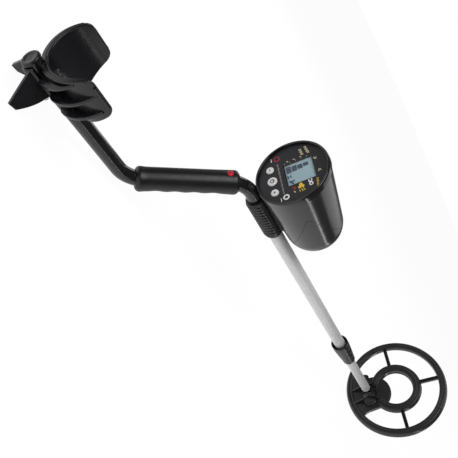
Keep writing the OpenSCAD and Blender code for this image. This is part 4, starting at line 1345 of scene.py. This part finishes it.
# ---------------------------------------------------------------- coil
@dataclass
class SearchCoil:
    """Round open coil: two rings, three double spokes, the rear tongue, clevis, bolt and knob."""

    layout: Layout
    finish: Finishes
    radius: float = 115.0
    ring_w: float = 17.0
    inner_r: float = 58.8
    hole_r: float = 39.6
    thickness: float = 14.0
    cover_t: float = 2.25
    forward: float = 64.0
    pivot_h: float = 15.0
    tongue_r: float = 38.0
    tongue_x: float = 14.0
    ear_r: float = 14.0
    ear_in: float = 10.1
    ear_out: float = 20.0

    @property
    def top(self) -> float:
        """Height of the rings' upper faces."""
        return -self.pivot_h

    @property
    def bottom(self) -> float:
        """Height of the shell's lower edge, over the flat cover."""
        return -self.pivot_h - self.thickness + self.cover_t

    def axle(self, at_x: float) -> Placing:
        """A frame whose X is the coil's upward axis at a point on its middle line."""
        c = self.layout.coil
        return Placing(c.out(np.array([at_x, 0, 0])), np.array([c.axes[2], Y_AXIS, -c.axes[0]]))

    def ring(self, outer: float, inner: float, slope: float) -> Surface:
        """A ring's hollow-free section turned about the coil's axis: a sloped outer wall, a rounded
        shoulder, a shallow groove along the top and a short inner wall.

        Args:
            outer: outer radius at the foot.
            inner: inner radius.
            slope: how far the outer wall leans in from foot to top.

        Returns:
            The closed surface.
        """
        top, low = self.top, self.bottom
        shoulder = arc_points(top - 3.2, outer - slope - 3.2, 3.2, 62, 0, 8)
        section = [[low, inner + 0.3], [low, outer - 0.5], [low + 0.5, outer]]
        section += [[low + 2.6, outer - 0.1]] + [[x, r] for x, r in shoulder]
        mid = (outer - slope - 3.4 + inner + 2.5) / 2
        section += [[top - 0.02, mid + 1.6], [top - 0.35, mid + 0.9], [top - 0.35, mid - 0.9],
                    [top - 0.02, mid - 1.6]]
        section += arc_points(top - 2.4, inner + 2.5, 2.4, 0, -90, 6) + [[low + 0.4, inner]]
        return lathe(self.axle(self.forward), section, 192, ring=True)

    def tongue(self) -> Surface:
        """The rear plate: round in front, straight sides, flared by cosine curves into the outer ring."""
        nose = np.radians(np.linspace(-90, 90, 61))
        front = np.stack([self.tongue_x + self.tongue_r * np.cos(nose), self.tongue_r * np.sin(nose)], axis=1)
        t = np.linspace(0, 1, 24)[1:]
        flare = np.stack([self.tongue_x - 44 * t**0.8, self.tongue_r + 14 * (1 - np.cos(t * math.pi / 2))], axis=1)
        rim = self.radius - 8.0
        reach = math.asin(float(flare[-1, 1]) / rim)
        back = np.linspace(math.pi - reach, math.pi, 20)[1:]
        arc = np.stack([self.forward + rim * np.cos(back), rim * np.sin(back)], axis=1)
        half = np.vstack([flare, arc])
        outline = np.vstack([front, half, (half * [1, -1])[::-1][1:]])
        return plate(self.layout.coil, outline, self.bottom, self.top - 1.5, 1.6, as_xy)

    def spokes(self) -> Surface:
        """Three double spokes: a low web with two raised ribs, ahead and to both sides."""
        parts = []
        span = self.radius - self.ring_w - self.inner_r + 7
        for turn in (0.0, math.pi / 2, -math.pi / 2):
            c, s = math.cos(turn), math.sin(turn)
            mid = self.inner_r - 3.5 + span / 2
            turned = np.array([[c, s], [-s, c]])
            for width, off, low, high in ((7.4, 0.0, 4.0, 6.6), (2.4, 2.9, 4.0, 11.4), (2.4, -2.9, 4.0, 11.4)):
                bar = (rounded_box(span, width, 0.4, 3) + [mid, off]) @ turned + [self.forward, 0]
                floor = -self.pivot_h - self.thickness
                parts.append(plate(self.layout.coil, bar, floor + low, floor + high, 0.6, as_xy))
        return gather(parts)

    def ear(self, side: Side) -> Surface:
        """One clevis ear: a disc round the pivot over a foot that widens to the tongue."""
        a = np.radians(np.linspace(-22, 202, 57))
        head = np.stack([self.ear_r * np.cos(a), self.ear_r * np.sin(a)], axis=1)
        foot = np.array([[-17.5, -11.0], [-19.5, self.top - 2.0], [19.5, self.top - 2.0], [17.5, -11.0]])
        outline = np.vstack([head, foot])
        inner, outer = side.value * self.ear_in, side.value * self.ear_out
        return plate(self.layout.coil, outline[::-1], min(inner, outer), max(inner, outer), 1.5, as_xz)

    def gussets(self) -> Surface:
        """Sloping ribs from the back and front of each ear down to the plate."""
        parts = []
        for side in Side:
            y = side.value * 15.0
            back = np.array([[-8.0, 4.0], [-13.0, 0.0], [-38.0, self.top + 1.2], [-44.0, self.top - 2.0],
                             [-8.0, self.top - 2.0]])
            front = np.array([[8.0, self.top - 2.0], [27.0, self.top - 2.0], [24.5, self.top - 0.6], [12.0, -6.0],
                              [8.0, -2.0]])
            for shape in (back, front):
                parts.append(plate(self.layout.coil, shape, y - 2.1, y + 2.1, 0.7, as_xz))
        return gather(parts)

    def across(self) -> Placing:
        """A frame whose X is the pivot's axis, to the operator's left."""
        c = self.layout.coil
        return Placing(c.origin, np.array([Y_AXIS, -c.axes[0], c.axes[2]]))

    def bolt(self) -> Surface:
        """The pivot bolt: a shank with a domed head in the right ear's counterbore."""
        out = self.ear_out
        profile = [[out + 13.5, 0.01], [out + 13.5, 2.95], [-out + 3.4, 2.95], [-out + 3.4, 5.5],
                   [-out + 0.8, 5.5], [-out + 0.1, 4.9], [-out + 0.1, 3.3], [-out + 1.4, 3.0], [-out + 1.4, 0.01]]
        return lathe(self.across(), profile, 64)

    def head_drum(self) -> Surface:
        """The fluted drum on the right ear: radius r(x, a) has twenty-four flutes round a dished end with
        a raised ring in its middle.

        Returns:
            The closed surface.
        """
        start = -self.ear_out + 1.0
        section = np.array([[0.0, 0.05], [0.0, 12.0], [-0.6, 12.7], [-1.2, 13.0], [-9.6, 13.0], [-10.6, 12.6],
                            [-11.2, 11.6], [-11.2, 10.4], [-10.6, 9.4], [-10.3, 6.6], [-11.0, 6.0], [-11.2, 5.2],
                            [-11.0, 4.4], [-10.2, 3.8], [-10.2, 0.05]])
        a = np.linspace(0, 2 * math.pi, 192, endpoint=False)[None, :]
        x, r = section[:, :1], section[:, 1:]
        flute = (r > 12.2) * np.clip(-x / 1.2, 0, 1) * np.clip((x + 10.8) / 0.8, 0, 1)
        rr = r - 0.7 * flute * np.clip(np.cos(24 * a), 0, 1)
        return closed_grid(self.across().out(around(x + start, rr, a)))

    def knob(self) -> Surface:
        """The clamping knob: radius r(x, a) is a drum with sixteen flutes and a dished end."""
        start = self.ear_out + 0.3
        section = np.array([[0.0, 3.1], [0.0, 8.6], [0.5, 9.5]] + [[x, 10.2] for x in np.linspace(1.6, 14.6, 14)] +
                           [[15.6, 10.0], [16.4, 9.4], [16.9, 8.4], [16.6, 7.2], [15.9, 5.0], [15.8, 0.05]])
        a = np.linspace(0, 2 * math.pi, 160, endpoint=False)[None, :]
        x, r = section[:, :1], section[:, 1:]
        flute = np.clip((x - 0.8) / 1.2, 0, 1) * np.clip((16.2 - x) / 1.4, 0, 1) * (r > 9)
        rr = r + 0.8 * flute * (np.clip(0.35 + np.cos(16 * a), -0.5, 1) - 0.15)
        return closed_grid(self.across().out(around(x + start, rr, a)))

    def build(self) -> None:
        """Makes the coil's pieces."""
        skin = self.finish.coil
        make("coil_outer_ring", self.ring(self.radius, self.radius - self.ring_w, 2.6), skin, Body.COIL,
             ["coil_shell"], sharp=30)
        make("coil_inner_ring", self.ring(self.inner_r, self.hole_r, 2.2), skin, Body.COIL,
             sharp=30)
        for name, surface in (("coil_tongue", self.tongue()), ("coil_spokes", self.spokes()),
                              ("clevis_ears", gather([self.ear(s) for s in Side])),
                              ("clevis_gussets", self.gussets())):
            make(name, surface, skin, Body.COIL)
        make("bolt_head_drum", self.head_drum(), self.finish.satin, Body.COIL)
        make("pivot_bolt_body", self.bolt(), self.finish.satin, Body.COIL, ["pivot_bolt"])
        make("clamp_knob", self.knob(), self.finish.rubber, Body.KNOB, ["pivot_knob"])


# ---------------------------------------------------------------- pieces kept from the CAD model
@dataclass
class KeptPieces:
    """CAD nodes whose shape is right and that only take a finish."""

    finish: Finishes

    def finishes(self) -> dict[str, bpy.types.Material]:
        """The finish of each kept node, by name."""
        f = self.finish
        same = {f.steel: ["stand_bolts", "stand_nuts", "board_screws", "headphone_socket", "sleeve_screws"],
                f.dark: ["button_switch", "key_switches", "battery_tray", "speaker", "lock_collet", "tube_bush",
                         "rubber_washers", "cable_gland"],
                f.satin: ["end_fitting"], f.film: ["face_panel"], f.lcd: ["display_module"],
                f.board: ["main_board"], f.cell: ["batteries"], f.coil: ["coil_cover"],
                f.copper: ["transmit_winding", "receive_winding"]}
        return {node: material for material, names in same.items() for node in names}

    def build(self) -> None:
        """Dresses the kept nodes."""
        for node, material in self.finishes().items():
            obj = frame["nodes"][node]
            obj.data.materials.clear()
            obj.data.materials.append(material)
            log.info("%s: CAD mesh, %s", node, material.name)


# ---------------------------------------------------------------- studio
@dataclass
class Studio:
    """Camera, floor, world and soft boxes. Places are in the stem's frame, in millimetres."""

    layout: Layout
    eye: tuple[float, float, float] = (-1557.09, -659.77, 172.41)
    gaze: tuple[float, float, float] = (0.761497, 0.611309, -0.215463)
    right: tuple[float, float, float] = (0.36227, -0.125758, 0.92355)
    field_ratio: float = 700.0 / 458.0
    sensor: float = 36.0
    stem_middle: float = 650.0

    def axes(self) -> tuple[Array, Array, Array]:
        """The camera's right, up and backward directions in the row frame."""
        turn = self.layout.stem.axes
        right = np.array(self.right) @ turn
        back = -(np.array(self.gaze) @ turn)
        right = right - back * (right @ back)
        right /= np.linalg.norm(right)
        return right, np.cross(back, right), back

    def camera(self) -> None:
        """Makes the camera."""
        data = bpy.data.cameras.new("camera")
        data.sensor_width = self.sensor
        data.lens = self.sensor * self.field_ratio
        data.clip_start = 0.05
        data.clip_end = 50.0
        obj = linked("camera", data)
        right, up, back = self.axes()
        turn = Matrix(np.stack([right, up, back], axis=1).tolist()).to_4x4()
        obj.matrix_world = Matrix.Translation(self.layout.stem.out(np.array(self.eye)).tolist()) @ turn
        bpy.context.scene.camera = obj

    def soft_box(self, name: str, way: Sequence[float], distance: float, long_way: Sequence[float],
                 size: tuple[float, float], power: float) -> None:
        """An area light that faces the object's middle.

        Args:
            name: the light's name.
            way: direction from the middle to the light, in the stem's frame.
            distance: metres from the middle.
            long_way: direction of its first side, in the stem's frame.
            size: first and second side in metres.
            power: watts.
        """
        stem = self.layout.stem
        z = np.array(way) @ stem.axes
        z /= np.linalg.norm(z)
        x = np.array(long_way) @ stem.axes
        x -= z * (x @ z)
        x /= np.linalg.norm(x)
        place = stem.out(np.array([-self.stem_middle, 0.0, 0.0])) + z * distance
        data = bpy.data.lights.new(name, "AREA")
        data.shape = "RECTANGLE"
        data.size, data.size_y = size
        data.energy = power
        obj = linked(name, data)
        turn = Matrix(np.stack([x, np.cross(z, x), z], axis=1).tolist()).to_4x4()
        obj.matrix_world = Matrix.Translation(place.tolist()) @ turn

    def world(self) -> None:
        """White behind the object and a calmer grey in its reflections."""
        world = bpy.data.worlds.new("studio")
        bpy.context.scene.world = world
        world.use_nodes = True
        tree = world.node_tree
        tree.nodes.clear()
        out = tree.nodes.new("ShaderNodeOutputWorld")
        out.location = (600, 0)
        seen = tree.nodes.new("ShaderNodeBackground")
        seen.label = "White behind the object"
        seen.location = (100, 120)
        seen.inputs["Color"].default_value = (1.0, 1.0, 1.0, 1.0)
        seen.inputs["Strength"].default_value = 1.0
        around = tree.nodes.new("ShaderNodeBackground")
        around.label = "Calm grey around it"
        around.location = (100, -80)
        around.inputs["Color"].default_value = (1.0, 1.0, 1.0, 1.0)
        around.inputs["Strength"].default_value = 0.12
        rays = tree.nodes.new("ShaderNodeLightPath")
        rays.label = "Seen straight or by light"
        rays.location = (100, 420)
        mix = tree.nodes.new("ShaderNodeMixShader")
        mix.label = "Backdrop"
        mix.location = (380, 0)
        tree.links.new(rays.outputs["Is Camera Ray"], mix.inputs[0])
        tree.links.new(around.outputs["Background"], mix.inputs[1])
        tree.links.new(seen.outputs["Background"], mix.inputs[2])
        tree.links.new(mix.outputs["Shader"], out.inputs["Surface"])

    def floor(self) -> None:
        """A wide pale floor under the feet and the coil."""
        mesh = bpy.data.meshes.new("floor")
        half = 20.0
        corners = [(-half, -half, 0.0), (half, -half, 0.0), (half, half, 0.0), (-half, half, 0.0)]
        mesh.from_pydata(corners, [], [(0, 1, 2, 3)])
        pale, tree, shader = blank("pale_floor")
        shader.inputs["Base Color"].default_value = (0.8, 0.8, 0.8, 1.0)
        shader.inputs["Roughness"].default_value = 0.8
        shader.inputs["Specular IOR Level"].default_value = 0.0
        shader.inputs["Emission Color"].default_value = (1.0, 1.0, 1.0, 1.0)
        shader.inputs["Emission Strength"].default_value = 0.4
        glow = tree.nodes.new("ShaderNodeEmission")
        glow.label = "White paper"
        glow.location = (400, -300)
        glow.inputs["Strength"].default_value = 1.02
        rays = tree.nodes.new("ShaderNodeLightPath")
        rays.label = "Seen straight or by light"
        rays.location = (100, 420)
        share = tree.nodes.new("ShaderNodeMapRange")
        share.label = "Most of what the camera sees is glow"
        share.location = (400, 420)
        share.inputs["To Max"].default_value = 0.9
        mix = tree.nodes.new("ShaderNodeMixShader")
        mix.label = "Paper with a faint shadow"
        mix.location = (700, 200)
        output = next(n for n in tree.nodes if n.type == "OUTPUT_MATERIAL")
        output.location = (950, 0)
        tree.links.new(rays.outputs["Is Camera Ray"], share.inputs["Value"])
        tree.links.new(share.outputs["Result"], mix.inputs[0])
        tree.links.new(shader.outputs["BSDF"], mix.inputs[1])
        tree.links.new(glow.outputs["Emission"], mix.inputs[2])
        tree.links.new(mix.outputs["Shader"], output.inputs["Surface"])
        mesh.materials.append(pale)
        linked("floor", mesh)

    def build(self) -> None:
        """Makes the studio."""
        self.camera()
        self.world()
        self.floor()
        self.soft_box("strip_at_right", (0.76, -0.62, 0.17), 3.0, (0.65, 0.74, 0.0), (3.6, 0.14), 8.0)
        self.soft_box("box_ahead", (0.76, 0.12, 0.62), 2.5, (0.0, 1.0, 0.0), (1.7, 1.1), 4.4)
        self.soft_box("box_behind", (-0.62, -0.2, 0.75), 2.4, (0.0, 1.0, 0.0), (1.8, 1.2), 26.0)
        self.soft_box("box_at_left", (0.2, 0.85, 0.5), 2.6, (1.0, 0.0, 0.0), (2.2, 1.2), 12.0)
        bpy.context.scene.view_settings.view_transform = "Standard"


def main() -> None:
    """Builds the sub-assemblies in order."""
    logging.basicConfig(level=logging.INFO, format="%(message)s")
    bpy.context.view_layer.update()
    layout, finish = Layout(), Finishes()
    for part in (UpperRod(layout, finish), Armrest(layout, finish), HandGrip(layout, finish),
                 ControlBox(layout, finish), TelescopicStem(layout, finish), SearchCoil(layout, finish),
                 KeptPieces(finish), Studio(layout)):
        part.build()


if __name__ == "__main__":
    main()
